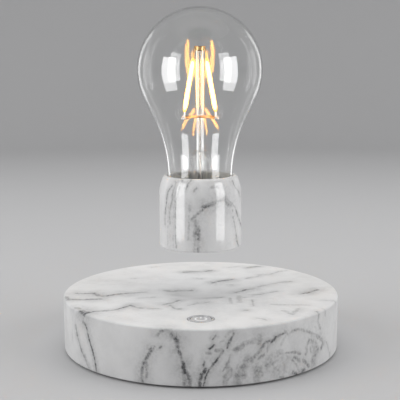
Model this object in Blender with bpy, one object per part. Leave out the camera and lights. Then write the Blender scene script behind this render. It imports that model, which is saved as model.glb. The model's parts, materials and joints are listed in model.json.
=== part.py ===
"""Levitating bulb lamp.

A round marble-look base, with a shallow dish in its top, holds a magnetic drive. A filament
bulb in a matching cap floats above the dish. It can be pushed down or lifted off against the
field, and it turns freely about its upright axis. Metres, +Z up. The origin is at table level
under the middle of the base, and the touch key is on the -Y side.
"""

import math

import bmesh
import bpy
from mathutils import Matrix, Quaternion, Vector
from mathutils.geometry import interpolate_bezier

mm = 0.001
full_turn = 2 * math.pi
quarter_turn = full_turn / 4
eighth_turn = full_turn / 8

# Fits and cuts
seat_gap = 0.3 * mm
cut_overrun = 1.0 * mm
weld_distance = 0.001 * mm

# Base housing, whose radius is the ring magnet's and the surround together
drive_surround = 29.0 * mm
base_height = 25.7 * mm
base_wall = 2.5 * mm
base_top_edge_radius = 1.0 * mm
base_bottom_edge_radius = 0.8 * mm
dish_radius = 22.0 * mm
dish_depth = 2.2 * mm
boss_radius = 3.5 * mm
boss_inset = 7.0 * mm
boss_bore_depth = 9.0 * mm
gusset_thickness = 1.6 * mm
gusset_drop = 11.0 * mm

# Bottom plate
plate_thickness = 2.6 * mm
plate_recess = 0.2 * mm
plate_edge_chamfer = 0.5 * mm
board_post_radius = 2.5 * mm
board_post_inset = 7.0 * mm
board_post_height = 2.3 * mm

# Rubber feet
foot_radius = 5.0 * mm
foot_inset = 15.0 * mm
foot_proud = 0.8 * mm
foot_pocket_depth = 0.5 * mm
foot_edge_radius = 0.4 * mm

# Screws
screw_shank_radius = 1.2 * mm
screw_shank_length = 8.4 * mm
screw_tip_share = 0.5
screw_head_radius = 2.5 * mm
screw_head_height = 1.2 * mm
screw_head_face_share = 0.7
screw_head_rim_share = 0.5
screw_head_recess = 0.1 * mm

# Touch key in the top of the base
key_inset = 16.2 * mm
key_ring_radius = 5.9 * mm
key_ring_width = 0.9 * mm
key_recess_depth = 1.2 * mm
key_ring_proud = 0.15 * mm
key_sink = 0.1 * mm
touch_pad_radius = 6.0 * mm
touch_pad_thickness = 0.5 * mm
touch_spring_radius = 1.8 * mm
touch_spring_wire = 0.35 * mm

# Control board and what is on it
board_thickness = 1.6 * mm
board_clearance = 1.0 * mm
board_tab_width = 17.0 * mm
board_tab_setback = 2.0 * mm
chip_side = 7.0 * mm
chip_height = 1.0 * mm
chip_angle = math.radians(200)
inductor_side = 6.0 * mm
inductor_height = 4.0 * mm
inductor_edge = 0.5 * mm
inductor_angle = math.radians(200)
capacitor_radius = 2.5 * mm
capacitor_height = 7.0 * mm
capacitor_edge_share = 0.125
capacitor_angles = (math.radians(55), math.radians(125))

# Power inlet
jack_width = 9.0 * mm
jack_height = 11.0 * mm
jack_length = 14.0 * mm
jack_bore_radius = 3.25 * mm
jack_bore_depth = 9.5 * mm
jack_bore_rise = 6.5 * mm
jack_pin_radius = 1.05 * mm
jack_pin_nose_share = 0.5
jack_pin_recess = 1.5 * mm
jack_collar_wall = 0.65 * mm
jack_collar_recess = 0.4 * mm

# Magnetic drive
tray_floor = 1.5 * mm
tray_wall = 1.4 * mm
tray_wall_height = 6.0 * mm
tray_leg_radius = 2.0 * mm
tray_leg_height = 2.3 * mm
tray_leg_inset = 4.0 * mm
magnet_ring_inner_radius = 27.5 * mm
magnet_ring_width = 10.5 * mm
transmit_coil_width = 13.0 * mm
transmit_coil_thickness = 1.4 * mm
bobbin_flange_radius = 8.0 * mm
bobbin_flange_thickness = 0.9 * mm
bobbin_tube_wall = 0.7 * mm
bobbin_spacing = 2.6 * mm
core_radius = 2.9 * mm
sensor_board_side = 14.0 * mm
sensor_board_thickness = 0.8 * mm
sensor_side = 2.8 * mm
sensor_height = 0.6 * mm
sensor_offset = 3.4 * mm

# Floating cap
hover_gap = 22.95 * mm
cap_height = 34.6 * mm
cap_wall = 1.8 * mm
cap_lip_width = 1.6 * mm
cap_lip_height = 2.6 * mm
cap_lip_edge = 0.4 * mm
cap_shoulder_inset = 2.25 * mm
cap_shoulder_drop = 8.5 * mm
cap_bottom_edge_radius = 1.2 * mm
cap_bottom_thickness = 1.6 * mm
cap_bottom_recess = 0.15 * mm

# Magnet and electronics in the cap
magnet_radius = 12.5 * mm
magnet_height = 8.0 * mm
magnet_edge = 0.4 * mm
magnet_plate_thickness = 1.2 * mm
magnet_cup_wall = 1.0 * mm
cup_post_radius = 1.2 * mm
cup_post_height = 1.5 * mm
cup_post_inset = 3.5 * mm
receiver_coil_height = 4.0 * mm
driver_board_thickness = 1.0 * mm
driver_board_clearance = 1.0 * mm
driver_capacitor_radius = 2.4 * mm
driver_capacitor_height = 4.5 * mm
driver_capacitor_offset = 8.0 * mm
neck_clearance = 1.5 * mm

# Glass envelope
globe_radius = 30.0 * mm
neck_radius = 15.8 * mm
neck_tuck = 1.8 * mm
cone_length = 8.06 * mm
cone_half_angle = math.radians(26.6)
glass_wall = 0.9 * mm

# Glass stem
post_radius = 1.9 * mm
post_rise = 10.5 * mm
post_edge = 0.7 * mm
flare_tube_radius = 5.6 * mm
flare_top_rise = 13.0 * mm
flare_wall = 0.8 * mm
flare_skirt_height = 9.0 * mm
exhaust_tube_drop = 1.5 * mm

# Filaments and their wires
filament_radius = 1.05 * mm
filament_tip_radius = 0.5 * mm
filament_tip_length = 2.4 * mm
filament_shoulder_share = 0.85
filament_top_rise = 5.4 * mm
filament_top_offset = 4.4 * mm
filament_bottom_offset = 10.45 * mm
crown_wall = 0.55 * mm
crown_height = 1.9 * mm
crown_wire_radius = 0.35 * mm
crown_wire_arch = 2.6 * mm
lower_wire_rise = 15.0 * mm
lower_wire_radius = 0.35 * mm
lower_wire_overhang = 1.95 * mm
lower_wire_bow = 0.35 * mm
lower_tab_length = 3.0 * mm
lower_tab_radius = 0.4 * mm
weld_spot_radius = 0.7 * mm
lead_wire_radius = 0.3 * mm
lead_wire_offset = 3.2 * mm

# Counts
screw_count = 4
foot_count = 4
board_post_count = 4
tray_leg_count = 4
coil_count = 4
sensor_count = 3
cup_post_count = 3
filament_count = 4
spring_turns = 6

# The fineness of round pieces, in sides and in steps along a curve
large_sides = 48
cap_sides = 40
glass_sides = 32
medium_sides = 24
jack_sides = 20
small_sides = 14
coil_sides = 12
filament_sides = 10
wire_sides = 6
spring_sides = 4
spring_steps = 8
dish_steps = 6
dish_under_steps = 4
edge_steps = 3
foot_steps = 2
shoulder_steps = 5
globe_steps = 10
globe_inner_steps = 8
neck_steps = 4
neck_inner_steps = 3
flare_steps = 4
flare_inner_steps = 3
crown_wire_points = 7
lower_wire_steps = 10
weld_spot_fineness = 1
sharp_angle = math.radians(32)

# Radii of the drive, and of the base round it
magnet_ring_outer_radius = magnet_ring_inner_radius + magnet_ring_width
transmit_coil_inner_radius = magnet_ring_outer_radius - transmit_coil_width
tray_inner_radius = magnet_ring_outer_radius + seat_gap
tray_radius = tray_inner_radius + tray_wall
base_radius = magnet_ring_outer_radius + drive_surround

# Levels of the base, from the table up
base_bottom = foot_proud
base_top = base_bottom + base_height
base_inner_radius = base_radius - base_wall
ceiling = base_top - base_wall
plate_bottom = base_bottom + plate_recess
plate_top = plate_bottom + plate_thickness
board_bottom = plate_top + board_post_height + seat_gap
board_top = board_bottom + board_thickness
boss_circle = base_inner_radius - boss_inset
board_radius = boss_circle - boss_radius - board_clearance
board_post_circle = board_radius - board_post_inset
foot_circle = base_radius - foot_inset
key_distance = base_radius - key_inset
screw_hole_radius = screw_shank_radius + seat_gap

# Levels of the magnetic drive
tray_bottom = board_top + seat_gap + tray_leg_height
tray_top = tray_bottom + tray_floor
drive_bottom = tray_top + seat_gap
transmit_coil_top = ceiling - seat_gap
transmit_coil_bottom = transmit_coil_top - transmit_coil_thickness
magnet_ring_top = transmit_coil_bottom - seat_gap
sensor_top = ceiling - dish_depth - seat_gap
sensor_board_top = sensor_top - sensor_height
sensor_board_bottom = sensor_board_top - sensor_board_thickness
bobbin_height = sensor_board_bottom - seat_gap - drive_bottom
coil_circle = (2 * bobbin_flange_radius + bobbin_spacing) / math.sqrt(2)
bobbin_bore_radius = core_radius + seat_gap
bobbin_tube_radius = bobbin_bore_radius + bobbin_tube_wall

# The inlet stands just behind the curved back wall, with its collar in the wall's hole
jack_collar_radius = jack_bore_radius + jack_collar_wall
jack_hole_radius = jack_collar_radius + seat_gap
jack_front = math.sqrt(base_inner_radius**2 - (jack_width / 2) ** 2) - seat_gap
jack_collar_length = base_radius - jack_collar_recess - jack_front
jack_bottom = board_top + seat_gap
jack_axis_level = jack_bottom + jack_bore_rise
board_tab_end = jack_front - board_tab_setback

# Levels and radii of the cap, from its underside up
cap_underside = base_top + hover_gap
cap_top = cap_underside + cap_height
cap_shoulder_level = cap_top - cap_shoulder_drop
cap_lip_inner_radius = neck_radius + seat_gap
cap_rim_radius = cap_lip_inner_radius + cap_lip_width
cap_radius = cap_rim_radius + cap_shoulder_inset
cap_inner_radius = cap_radius - cap_wall
cap_bottom_level = cap_underside + cap_bottom_recess
magnet_bottom = cap_bottom_level + cap_bottom_thickness + seat_gap
magnet_top = magnet_bottom + magnet_height
magnet_plate_bottom = magnet_top + seat_gap
magnet_plate_top = magnet_plate_bottom + magnet_plate_thickness
cup_inner_radius = magnet_radius + seat_gap
cup_outer_radius = cup_inner_radius + magnet_cup_wall
cup_ceiling = magnet_plate_top + seat_gap
cup_top = cup_ceiling + magnet_cup_wall
driver_board_bottom = cup_top + cup_post_height + seat_gap
driver_board_top = driver_board_bottom + driver_board_thickness
driver_board_radius = cap_inner_radius - driver_board_clearance
driver_capacitor_bottom = driver_board_top + seat_gap
driver_capacitor_top = driver_capacitor_bottom + driver_capacitor_height

# Levels of the bulb
neck_bottom = driver_capacitor_top + neck_clearance
neck_straight_top = cap_top - neck_tuck
neck_inner_radius = neck_radius - glass_wall
neck_blend_radius = (
    globe_radius * math.cos(cone_half_angle)
    - cone_length * math.sin(cone_half_angle)
    - neck_radius
) / (1 - math.cos(cone_half_angle))
cone_bottom = neck_straight_top + neck_blend_radius * math.sin(cone_half_angle)
cone_top = cone_bottom + cone_length * math.cos(cone_half_angle)
globe_centre = cone_top + globe_radius * math.sin(cone_half_angle)
post_top = globe_centre + post_rise
flare_top = cap_top + flare_top_rise
flare_shoulder = flare_top - flare_tube_radius
flare_rim_radius = neck_inner_radius - seat_gap
flare_skirt_top = neck_bottom + flare_skirt_height
exhaust_bottom = neck_bottom - exhaust_tube_drop

# Places of the filaments and their wires
lower_wire_level = flare_top + lower_wire_rise
filament_top = globe_centre + filament_top_rise
filament_bottom = lower_wire_level + lower_tab_length
filament_drop = filament_top - filament_bottom
filament_spread = filament_bottom_offset - filament_top_offset
filament_length = math.hypot(filament_drop, filament_spread)
filament_tilt = math.atan2(filament_spread, filament_drop)
lower_corner = filament_bottom_offset * math.sin(eighth_turn)
crown_inner_radius = post_radius + seat_gap
crown_outer_radius = crown_inner_radius + crown_wall
crown_ceiling = post_top + seat_gap
crown_top = crown_ceiling + crown_wall
crown_bottom = crown_top - crown_height


def remove_everything():
    """Empties the scene that the script starts in."""
    for thing in list(bpy.data.objects):
        bpy.data.objects.remove(thing, do_unlink=True)


def finish(name, colour, roughness, metallic=0.0, transmission=0.0, glow=0.0):
    """A Principled material. Glow is the strength of light in its own colour."""
    made = bpy.data.materials.new(name)
    made.use_nodes = True
    shader = made.node_tree.nodes["Principled BSDF"]
    shader.inputs["Base Color"].default_value = (*colour, 1)
    shader.inputs["Roughness"].default_value = roughness
    shader.inputs["Metallic"].default_value = metallic
    shader.inputs["Transmission Weight"].default_value = transmission
    shader.inputs["Emission Color"].default_value = (*colour, 1)
    shader.inputs["Emission Strength"].default_value = glow
    made.diffuse_color = (*colour, 1 - transmission / 2)
    return made


def make_finishes():
    """The lamp's materials, by the name of what they are."""
    return {
        "marble": finish("marble", (0.80, 0.80, 0.81), 0.12),
        "plate": finish("plate", (0.72, 0.72, 0.73), 0.45),
        "key": finish("key", (0.86, 0.87, 0.88), 0.20),
        "key_ring": finish("key_ring", (0.55, 0.56, 0.58), 0.25, metallic=0.8),
        "rubber": finish("rubber", (0.05, 0.05, 0.05), 0.85),
        "steel": finish("steel", (0.62, 0.62, 0.64), 0.35, metallic=1.0),
        "board": finish("board", (0.03, 0.22, 0.10), 0.50),
        "black_plastic": finish("black_plastic", (0.03, 0.03, 0.035), 0.45),
        "ferrite": finish("ferrite", (0.10, 0.10, 0.11), 0.60),
        "magnet": finish("magnet", (0.75, 0.75, 0.77), 0.22, metallic=1.0),
        "copper": finish("copper", (0.78, 0.38, 0.18), 0.32, metallic=0.9),
        "aluminium": finish("aluminium", (0.80, 0.80, 0.82), 0.30, metallic=1.0),
        "cement": finish("cement", (0.78, 0.75, 0.68), 0.90),
        "glass": finish("glass", (0.97, 0.97, 0.97), 0.02, transmission=1.0),
        "wire": finish("wire", (0.72, 0.55, 0.38), 0.30, metallic=1.0),
        "phosphor": finish("phosphor", (1.0, 0.62, 0.16), 0.50, glow=4.0),
    }


def carrier(name, level, parent=None):
    """An empty on the lamp's axis, at a world level, that other pieces hang on."""
    empty = bpy.data.objects.new(name, None)
    empty.empty_display_size = cap_radius
    empty.location = Vector((0, 0, level)) - origin_of(parent)
    empty.parent = parent
    bpy.context.scene.collection.objects.link(empty)
    return empty


def origin_of(empty):
    """The world place of a carrier, counted up its parents."""
    total = Vector((0, 0, 0))
    while empty:
        total += empty.location
        empty = empty.parent
    return total


def mesh_of(name, shape, parent, spot):
    """The mesh of a bmesh with its faces turned outwards, drawn round where its object will be."""
    if spot is None:
        bmesh.ops.translate(shape, verts=shape.verts, vec=-origin_of(parent))
    bmesh.ops.recalc_face_normals(shape, faces=shape.faces)
    mesh = bpy.data.meshes.new(name)
    shape.to_mesh(mesh)
    shape.free()
    return mesh


def place(name, shape, look, parent, spot=None, turn=None):
    """A smooth-shaded object under its carrier.

    With a spot, the shape is drawn round its own origin, which goes to that place in the world.
    Without one, the shape is drawn where it belongs, and its object's origin is its carrier's.
    """
    mesh = mesh_of(name, shape, parent, spot)
    mesh.shade_smooth()
    mesh.set_sharp_from_angle(angle=sharp_angle)
    mesh.materials.append(look)
    return place_mesh(name, mesh, parent, spot, turn)


def place_mesh(name, mesh, parent, spot=None, turn=None):
    """An object of a mesh that may be shared, at a world place under its carrier."""
    piece = bpy.data.objects.new(name, mesh)
    piece.parent = parent
    if spot is not None:
        piece.location = Vector(spot) - origin_of(parent)
    if turn:
        piece.rotation_mode = "QUATERNION"
        piece.rotation_quaternion = turn
    bpy.context.scene.collection.objects.link(piece)
    return piece


def place_copies(name, shape, look, parent, spots, turns=None):
    """Numbered objects that share one mesh, each at its own spot."""
    turns = turns or [None] * len(spots)
    first = place(f"{name}_1", shape, look, parent, spots[0], turns[0])
    for number in range(1, len(spots)):
        place_mesh(f"{name}_{number + 1}", first.data, parent, spots[number], turns[number])


def combine(piece, name, shape, operation):
    """Adds a shape, drawn where it belongs, to a piece with UNION, or cuts it away with DIFFERENCE."""
    tool = place_mesh(name, mesh_of(name, shape, piece.parent, None), piece.parent)
    tool.hide_render = True
    tool.display_type = "WIRE"
    step = piece.modifiers.new(name, "BOOLEAN")
    step.operation = operation
    step.solver = "EXACT"
    step.object = tool


def on_circle(radius, angle, level=0):
    """The point at an angle round the axis."""
    return Vector((radius * math.cos(angle), radius * math.sin(angle), level))


def around(count, radius, start=0, level=0):
    """Points evenly spaced round the axis."""
    return [on_circle(radius, start + full_turn * number / count, level) for number in range(count)]


def arc(centre, radius, start, end, steps):
    """Points (radius, height) along an arc, with its angles counted from straight outwards."""
    points = []
    for step in range(steps + 1):
        angle = start + (end - start) * step / steps
        points.append((centre[0] + radius * math.cos(angle), centre[1] + radius * math.sin(angle)))
    return points


def turned(outline, sides):
    """A bmesh spun about Z from an outline of (radius, height) points.

    The outline starts and ends on the axis, or else comes round to its start.
    """
    shape = bmesh.new()
    corners = [shape.verts.new((radius, 0, height)) for radius, height in outline]
    edges = [shape.edges.new(pair) for pair in zip(corners, corners[1:])]
    if outline[0][0] > weld_distance:
        edges.append(shape.edges.new((corners[-1], corners[0])))
    bmesh.ops.spin(
        shape,
        geom=corners + edges,
        axis=(0, 0, 1),
        cent=(0, 0, 0),
        angle=full_turn,
        steps=sides,
        use_merge=True,
    )
    bmesh.ops.remove_doubles(shape, verts=shape.verts, dist=weld_distance)
    return shape


def tube_outline(outer, inner, low, high):
    """The outline of a plain ring of rectangular section."""
    return [(outer, high), (outer, low), (inner, low), (inner, high)]


def disc_outline(radius, low, high, edge=0):
    """The outline of a disc, with an optional chamfer on both rims."""
    if not edge:
        return [(0, high), (radius, high), (radius, low), (0, low)]
    return [
        (0, high),
        (radius - edge, high),
        (radius, high - edge),
        (radius, low + edge),
        (radius - edge, low),
        (0, low),
    ]


def add_cylinder(shape, radius, low, high, sides, spot=(0, 0, 0), turn=Matrix()):
    """Adds a capped cylinder to a bmesh: upright, then turned about its own origin, then moved."""
    middle = Matrix.Translation((0, 0, (low + high) / 2))
    bmesh.ops.create_cone(
        shape,
        cap_ends=True,
        segments=sides,
        radius1=radius,
        radius2=radius,
        depth=high - low,
        matrix=Matrix.Translation(spot) @ turn @ middle,
    )


def add_box(shape, low, high, turn=Matrix()):
    """Adds a box between two corners to a bmesh, then turns it about the axis."""
    size = Vector(high) - Vector(low)
    middle = Matrix.Translation((Vector(high) + Vector(low)) / 2)
    bmesh.ops.create_cube(shape, size=1, matrix=turn @ middle @ Matrix.Diagonal((*size, 1)))


def add_wire(shape, points, radius, sides):
    """Adds a round wire with flat ends to a bmesh, each ring square to the path."""
    along = (points[1] - points[0]).normalized()
    turn = Vector((0, 0, 1)).rotation_difference(along)
    rings = []
    for index, point in enumerate(points):
        ahead = points[min(index + 1, len(points) - 1)]
        behind = points[max(index - 1, 0)]
        onward = (ahead - behind).normalized()
        turn = along.rotation_difference(onward) @ turn
        along = onward
        spokes = around(sides, radius)
        rings.append([shape.verts.new(point + turn @ spoke) for spoke in spokes])
    for first, second in zip(rings, rings[1:]):
        for side in range(sides):
            after = (side + 1) % sides
            shape.faces.new((first[side], first[after], second[after], second[side]))
    shape.faces.new(reversed(rings[0]))
    shape.faces.new(rings[-1])


def dish_line(level, steps):
    """The dish's cosine curve, from the axis out to its rim, under a flat at the given level."""
    points = []
    for step in range(steps + 1):
        drop = dish_depth * (1 + math.cos(math.pi * step / steps)) / 2
        points.append((dish_radius * step / steps, level - drop))
    return points


def make_base_shell(looks, base):
    """The moulded housing: a turned cup with dish, bosses, gussets, key recess and inlet hole."""
    edge, heel = base_top_edge_radius, base_bottom_edge_radius
    outline = dish_line(base_top, dish_steps)
    outline += arc((base_radius - edge, base_top - edge), edge, quarter_turn, 0, edge_steps)
    outline += arc((base_radius - heel, base_bottom + heel), heel, 0, -quarter_turn, edge_steps)
    outline += [(base_inner_radius, base_bottom), (base_inner_radius, ceiling)]
    outline += reversed(dish_line(ceiling, dish_under_steps))
    shell = place("base_shell", turned(outline, large_sides), looks["marble"], base)

    bosses = bmesh.new()
    bores = bmesh.new()
    gussets = bmesh.new()
    low = plate_top + seat_gap
    high = ceiling + base_wall / 2
    gusset_low = (boss_circle, -gusset_thickness / 2, ceiling - gusset_drop)
    gusset_high = (base_inner_radius + base_wall / 2, gusset_thickness / 2, high)
    for spot in around(screw_count, boss_circle, eighth_turn):
        add_cylinder(bosses, boss_radius, low, high, small_sides, spot)
        bore_ends = low - cut_overrun, low + boss_bore_depth
        add_cylinder(bores, screw_hole_radius, *bore_ends, small_sides, spot)
        outwards = Matrix.Rotation(math.atan2(spot.y, spot.x), 4, "Z")
        add_box(gussets, gusset_low, gusset_high, outwards)
    combine(shell, "boss_posts", bosses, "UNION")
    combine(shell, "boss_gussets", gussets, "UNION")
    combine(shell, "boss_bores", bores, "DIFFERENCE")

    recess = bmesh.new()
    ends = base_top - key_recess_depth, base_top + cut_overrun
    add_cylinder(recess, key_ring_radius + seat_gap, *ends, medium_sides, (0, -key_distance, 0))
    combine(shell, "key_recess", recess, "DIFFERENCE")

    hole = bmesh.new()
    reach = base_wall / 2 + cut_overrun + seat_gap
    middle = (0, base_inner_radius + base_wall / 2, jack_axis_level)
    lying = Matrix.Rotation(quarter_turn, 4, "X")
    add_cylinder(hole, jack_hole_radius, -reach, reach, jack_sides, middle, lying)
    combine(shell, "jack_hole", hole, "DIFFERENCE")


def make_bottom_plate(looks, base):
    """The closing plate, with screw counterbores and foot pockets below and board posts above."""
    rim = base_inner_radius - seat_gap
    outline = [
        (0, plate_top),
        (rim, plate_top),
        (rim, plate_bottom + plate_edge_chamfer),
        (rim - plate_edge_chamfer, plate_bottom),
        (0, plate_bottom),
    ]
    plate = place("bottom_plate", turned(outline, large_sides), looks["plate"], base)

    posts = bmesh.new()
    ends = plate_bottom + plate_thickness / 2, plate_top + board_post_height
    for spot in around(board_post_count, board_post_circle, eighth_turn):
        add_cylinder(posts, board_post_radius, *ends, small_sides, spot)
    combine(plate, "board_posts", posts, "UNION")

    holes = bmesh.new()
    pockets = bmesh.new()
    below = plate_bottom - cut_overrun
    screw_seat = plate_bottom + screw_head_recess + screw_head_height + seat_gap
    foot_seat = plate_bottom + foot_pocket_depth
    for spot in around(screw_count, boss_circle, eighth_turn):
        add_cylinder(holes, screw_hole_radius, below, plate_top + cut_overrun, small_sides, spot)
        add_cylinder(pockets, screw_head_radius + seat_gap, below, screw_seat, small_sides, spot)
    for spot in around(foot_count, foot_circle):
        add_cylinder(pockets, foot_radius + seat_gap, below, foot_seat, small_sides, spot)
    combine(plate, "screw_holes", holes, "DIFFERENCE")
    combine(plate, "plate_pockets", pockets, "DIFFERENCE")


def make_feet(looks, base):
    """Rubber discs in the plate's pockets, rounded at the edge that meets the table."""
    top = plate_bottom + foot_pocket_depth - seat_gap
    edge = foot_edge_radius
    outline = [(0, top), (foot_radius, top)]
    outline += arc((foot_radius - edge, edge), edge, 0, -quarter_turn, foot_steps)
    outline += [(0, 0)]
    spots = around(foot_count, foot_circle)
    place_copies("foot", turned(outline, small_sides), looks["rubber"], base, spots)


def make_screws(looks, base):
    """Self-tapping screws, heads down in their counterbores."""
    tip = screw_shank_radius * screw_tip_share
    top = screw_head_height + screw_shank_length
    outline = [
        (0, top),
        (tip, top),
        (screw_shank_radius, top - screw_shank_radius),
        (screw_shank_radius, screw_head_height),
        (screw_head_radius, screw_head_height),
        (screw_head_radius, screw_head_height * screw_head_rim_share),
        (screw_head_radius * screw_head_face_share, 0),
        (0, 0),
    ]
    spots = around(screw_count, boss_circle, eighth_turn, plate_bottom + screw_head_recess)
    place_copies("screw", turned(outline, coil_sides), looks["steel"], base, spots)


def make_touch_key(looks, base):
    """The trim ring and key disc in the top, with the electrode and its spring below."""
    spot = (0, -key_distance, 0)
    ring_floor = base_top - key_recess_depth + seat_gap
    ring_inner = key_ring_radius - key_ring_width
    ring_top = base_top + key_ring_proud
    edge = key_ring_proud
    ring = [
        (key_ring_radius - edge, ring_top),
        (key_ring_radius, ring_top - edge),
        (key_ring_radius, ring_floor),
        (ring_inner, ring_floor),
        (ring_inner, ring_top - edge),
        (ring_inner + edge, ring_top),
    ]
    place("touch_ring", turned(ring, medium_sides), looks["key_ring"], base, spot)
    key = disc_outline(ring_inner - seat_gap, ring_floor, base_top - key_sink)
    place("touch_key", turned(key, medium_sides), looks["key"], base, spot)

    pad_top = ceiling - seat_gap
    pad_bottom = pad_top - touch_pad_thickness
    pad = disc_outline(touch_pad_radius, pad_bottom, pad_top)
    place("touch_pad", turned(pad, small_sides), looks["copper"], base, spot)

    low = board_top + seat_gap + touch_spring_wire
    high = pad_bottom - seat_gap - touch_spring_wire
    steps = spring_turns * spring_steps
    coil = []
    for step in range(steps + 1):
        level = low + (high - low) * step / steps
        coil.append(on_circle(touch_spring_radius, full_turn * step / spring_steps, level))
    spring = bmesh.new()
    add_wire(spring, coil, touch_spring_wire, spring_sides)
    place("touch_spring", spring, looks["steel"], base, spot)


def make_control_board(looks, base):
    """The electronics board: a disc with a tab that carries the inlet."""
    tab = board_tab_width / 2
    half_gap = math.asin(tab / board_radius)
    start = quarter_turn + half_gap
    sweep = full_turn - 2 * half_gap
    board = bmesh.new()
    rim = []
    for step in range(large_sides + 1):
        spot = on_circle(board_radius, start + sweep * step / large_sides, board_bottom)
        rim.append(board.verts.new(spot))
    rim.append(board.verts.new((tab, board_tab_end, board_bottom)))
    rim.append(board.verts.new((-tab, board_tab_end, board_bottom)))
    face = board.faces.new(rim)
    grown = bmesh.ops.extrude_face_region(board, geom=[face])["geom"]
    raised = [corner for corner in grown if isinstance(corner, bmesh.types.BMVert)]
    bmesh.ops.translate(board, verts=raised, vec=(0, 0, board_thickness))
    place("control_board", board, looks["board"], base)


def make_board_parts(looks, base):
    """The tall parts in the free ring of the board, and the processor under the tray."""
    free_ring = (tray_radius + board_radius) / 2
    low = board_top + seat_gap
    edge = capacitor_radius * capacitor_edge_share
    can = disc_outline(capacitor_radius, low, low + capacitor_height, edge)
    spots = [on_circle(free_ring, angle) for angle in capacitor_angles]
    place_copies("capacitor", turned(can, coil_sides), looks["aluminium"], base, spots)

    inductor = bmesh.new()
    half = inductor_side / 2
    add_box(inductor, (-half, -half, low), (half, half, low + inductor_height))
    bmesh.ops.bevel(inductor, geom=inductor.edges, offset=inductor_edge, segments=1, affect="EDGES")
    spot = on_circle(free_ring, inductor_angle)
    place("power_inductor", inductor, looks["ferrite"], base, spot)

    chip = bmesh.new()
    half = chip_side / 2
    add_box(chip, (-half, -half, low), (half, half, low + chip_height))
    spot = on_circle(coil_circle, chip_angle)
    place("processor_chip", chip, looks["black_plastic"], base, spot)


def make_jack(looks, base):
    """The barrel inlet: a moulded block with a round collar, bored through both, and its pin."""
    block = bmesh.new()
    half = jack_width / 2
    corner = (-half, jack_front - jack_length, jack_bottom)
    add_box(block, corner, (half, jack_front, jack_bottom + jack_height))
    jack = place("dc_jack", block, looks["black_plastic"], base)
    mouth = (0, jack_front, jack_axis_level)
    lying = Matrix.Rotation(quarter_turn, 4, "X")

    collar = bmesh.new()
    ends = -jack_collar_length, jack_collar_wall
    add_cylinder(collar, jack_collar_radius, *ends, jack_sides, mouth, lying)
    combine(jack, "jack_collar", collar, "UNION")

    bore = bmesh.new()
    ends = -jack_collar_length - cut_overrun, jack_bore_depth
    add_cylinder(bore, jack_bore_radius, *ends, jack_sides, mouth, lying)
    combine(jack, "jack_bore", bore, "DIFFERENCE")

    length = jack_bore_depth - seat_gap - jack_pin_recess
    nose = jack_pin_radius * jack_pin_nose_share
    outline = [
        (0, length),
        (jack_pin_radius - nose, length),
        (jack_pin_radius, length - nose),
        (jack_pin_radius, 0),
        (0, 0),
    ]
    root = (0, jack_front - jack_bore_depth + seat_gap, jack_axis_level)
    backwards = Quaternion((1, 0, 0), -quarter_turn)
    place("dc_jack_pin", turned(outline, coil_sides), looks["steel"], base, root, backwards)


def make_magnetic_drive(looks, base):
    """The tray on the board, the ring magnet in it, and the flat transmit coil on top."""
    wall_top = drive_bottom + tray_wall_height
    outline = [
        (0, tray_top),
        (tray_inner_radius, tray_top),
        (tray_inner_radius, wall_top),
        (tray_radius, wall_top),
        (tray_radius, tray_bottom),
        (0, tray_bottom),
    ]
    tray = place("magnet_tray", turned(outline, medium_sides), looks["black_plastic"], base)
    legs = bmesh.new()
    ends = board_top + seat_gap, tray_bottom + tray_floor / 2
    for spot in around(tray_leg_count, tray_radius - tray_leg_inset, eighth_turn):
        add_cylinder(legs, tray_leg_radius, *ends, coil_sides, spot)
    combine(tray, "tray_legs", legs, "UNION")

    radii = magnet_ring_outer_radius, magnet_ring_inner_radius
    ring = tube_outline(*radii, drive_bottom, magnet_ring_top)
    place("ring_magnet", turned(ring, medium_sides), looks["ferrite"], base)
    radii = magnet_ring_outer_radius, transmit_coil_inner_radius
    coil = tube_outline(*radii, transmit_coil_bottom, transmit_coil_top)
    place("transmit_coil", turned(coil, medium_sides), looks["copper"], base)


def make_steering_coils(looks, base):
    """Bobbins round the axis, each with its winding and its iron core."""
    flange = bobbin_flange_thickness
    bobbin = [
        (bobbin_bore_radius, bobbin_height),
        (bobbin_flange_radius, bobbin_height),
        (bobbin_flange_radius, bobbin_height - flange),
        (bobbin_tube_radius, bobbin_height - flange),
        (bobbin_tube_radius, flange),
        (bobbin_flange_radius, flange),
        (bobbin_flange_radius, 0),
        (bobbin_bore_radius, 0),
    ]
    winding = tube_outline(
        bobbin_flange_radius - seat_gap,
        bobbin_tube_radius + seat_gap,
        flange + seat_gap,
        bobbin_height - flange - seat_gap,
    )
    core = disc_outline(core_radius, 0, bobbin_height)
    spots = around(coil_count, coil_circle, 0, drive_bottom)
    place_copies("bobbin", turned(bobbin, coil_sides), looks["black_plastic"], base, spots)
    place_copies("winding", turned(winding, coil_sides), looks["copper"], base, spots)
    place_copies("core", turned(core, coil_sides), looks["ferrite"], base, spots)


def make_sensor_board(looks, base):
    """The small board under the dish, with its field sensors on top."""
    board = bmesh.new()
    half = sensor_board_side / 2
    add_box(board, (-half, -half, sensor_board_bottom), (half, half, sensor_board_top))
    piece = place("sensor_board", board, looks["board"], base)
    sensors = bmesh.new()
    half = sensor_side / 2
    low = sensor_board_top - sensor_board_thickness / 2
    for spot in around(sensor_count, sensor_offset):
        corner = (spot.x - half, spot.y - half, low)
        add_box(sensors, corner, (spot.x + half, spot.y + half, sensor_top))
    combine(piece, "sensors", sensors, "UNION")


def make_levitation_magnet(looks, field):
    """The disc magnet that the base holds up, with its steel back plate."""
    magnet = disc_outline(magnet_radius, magnet_bottom, magnet_top, magnet_edge)
    place("levitation_magnet", turned(magnet, medium_sides), looks["magnet"], field)
    plate = disc_outline(magnet_radius, magnet_plate_bottom, magnet_plate_top)
    place("magnet_plate", turned(plate, medium_sides), looks["steel"], field)


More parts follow.
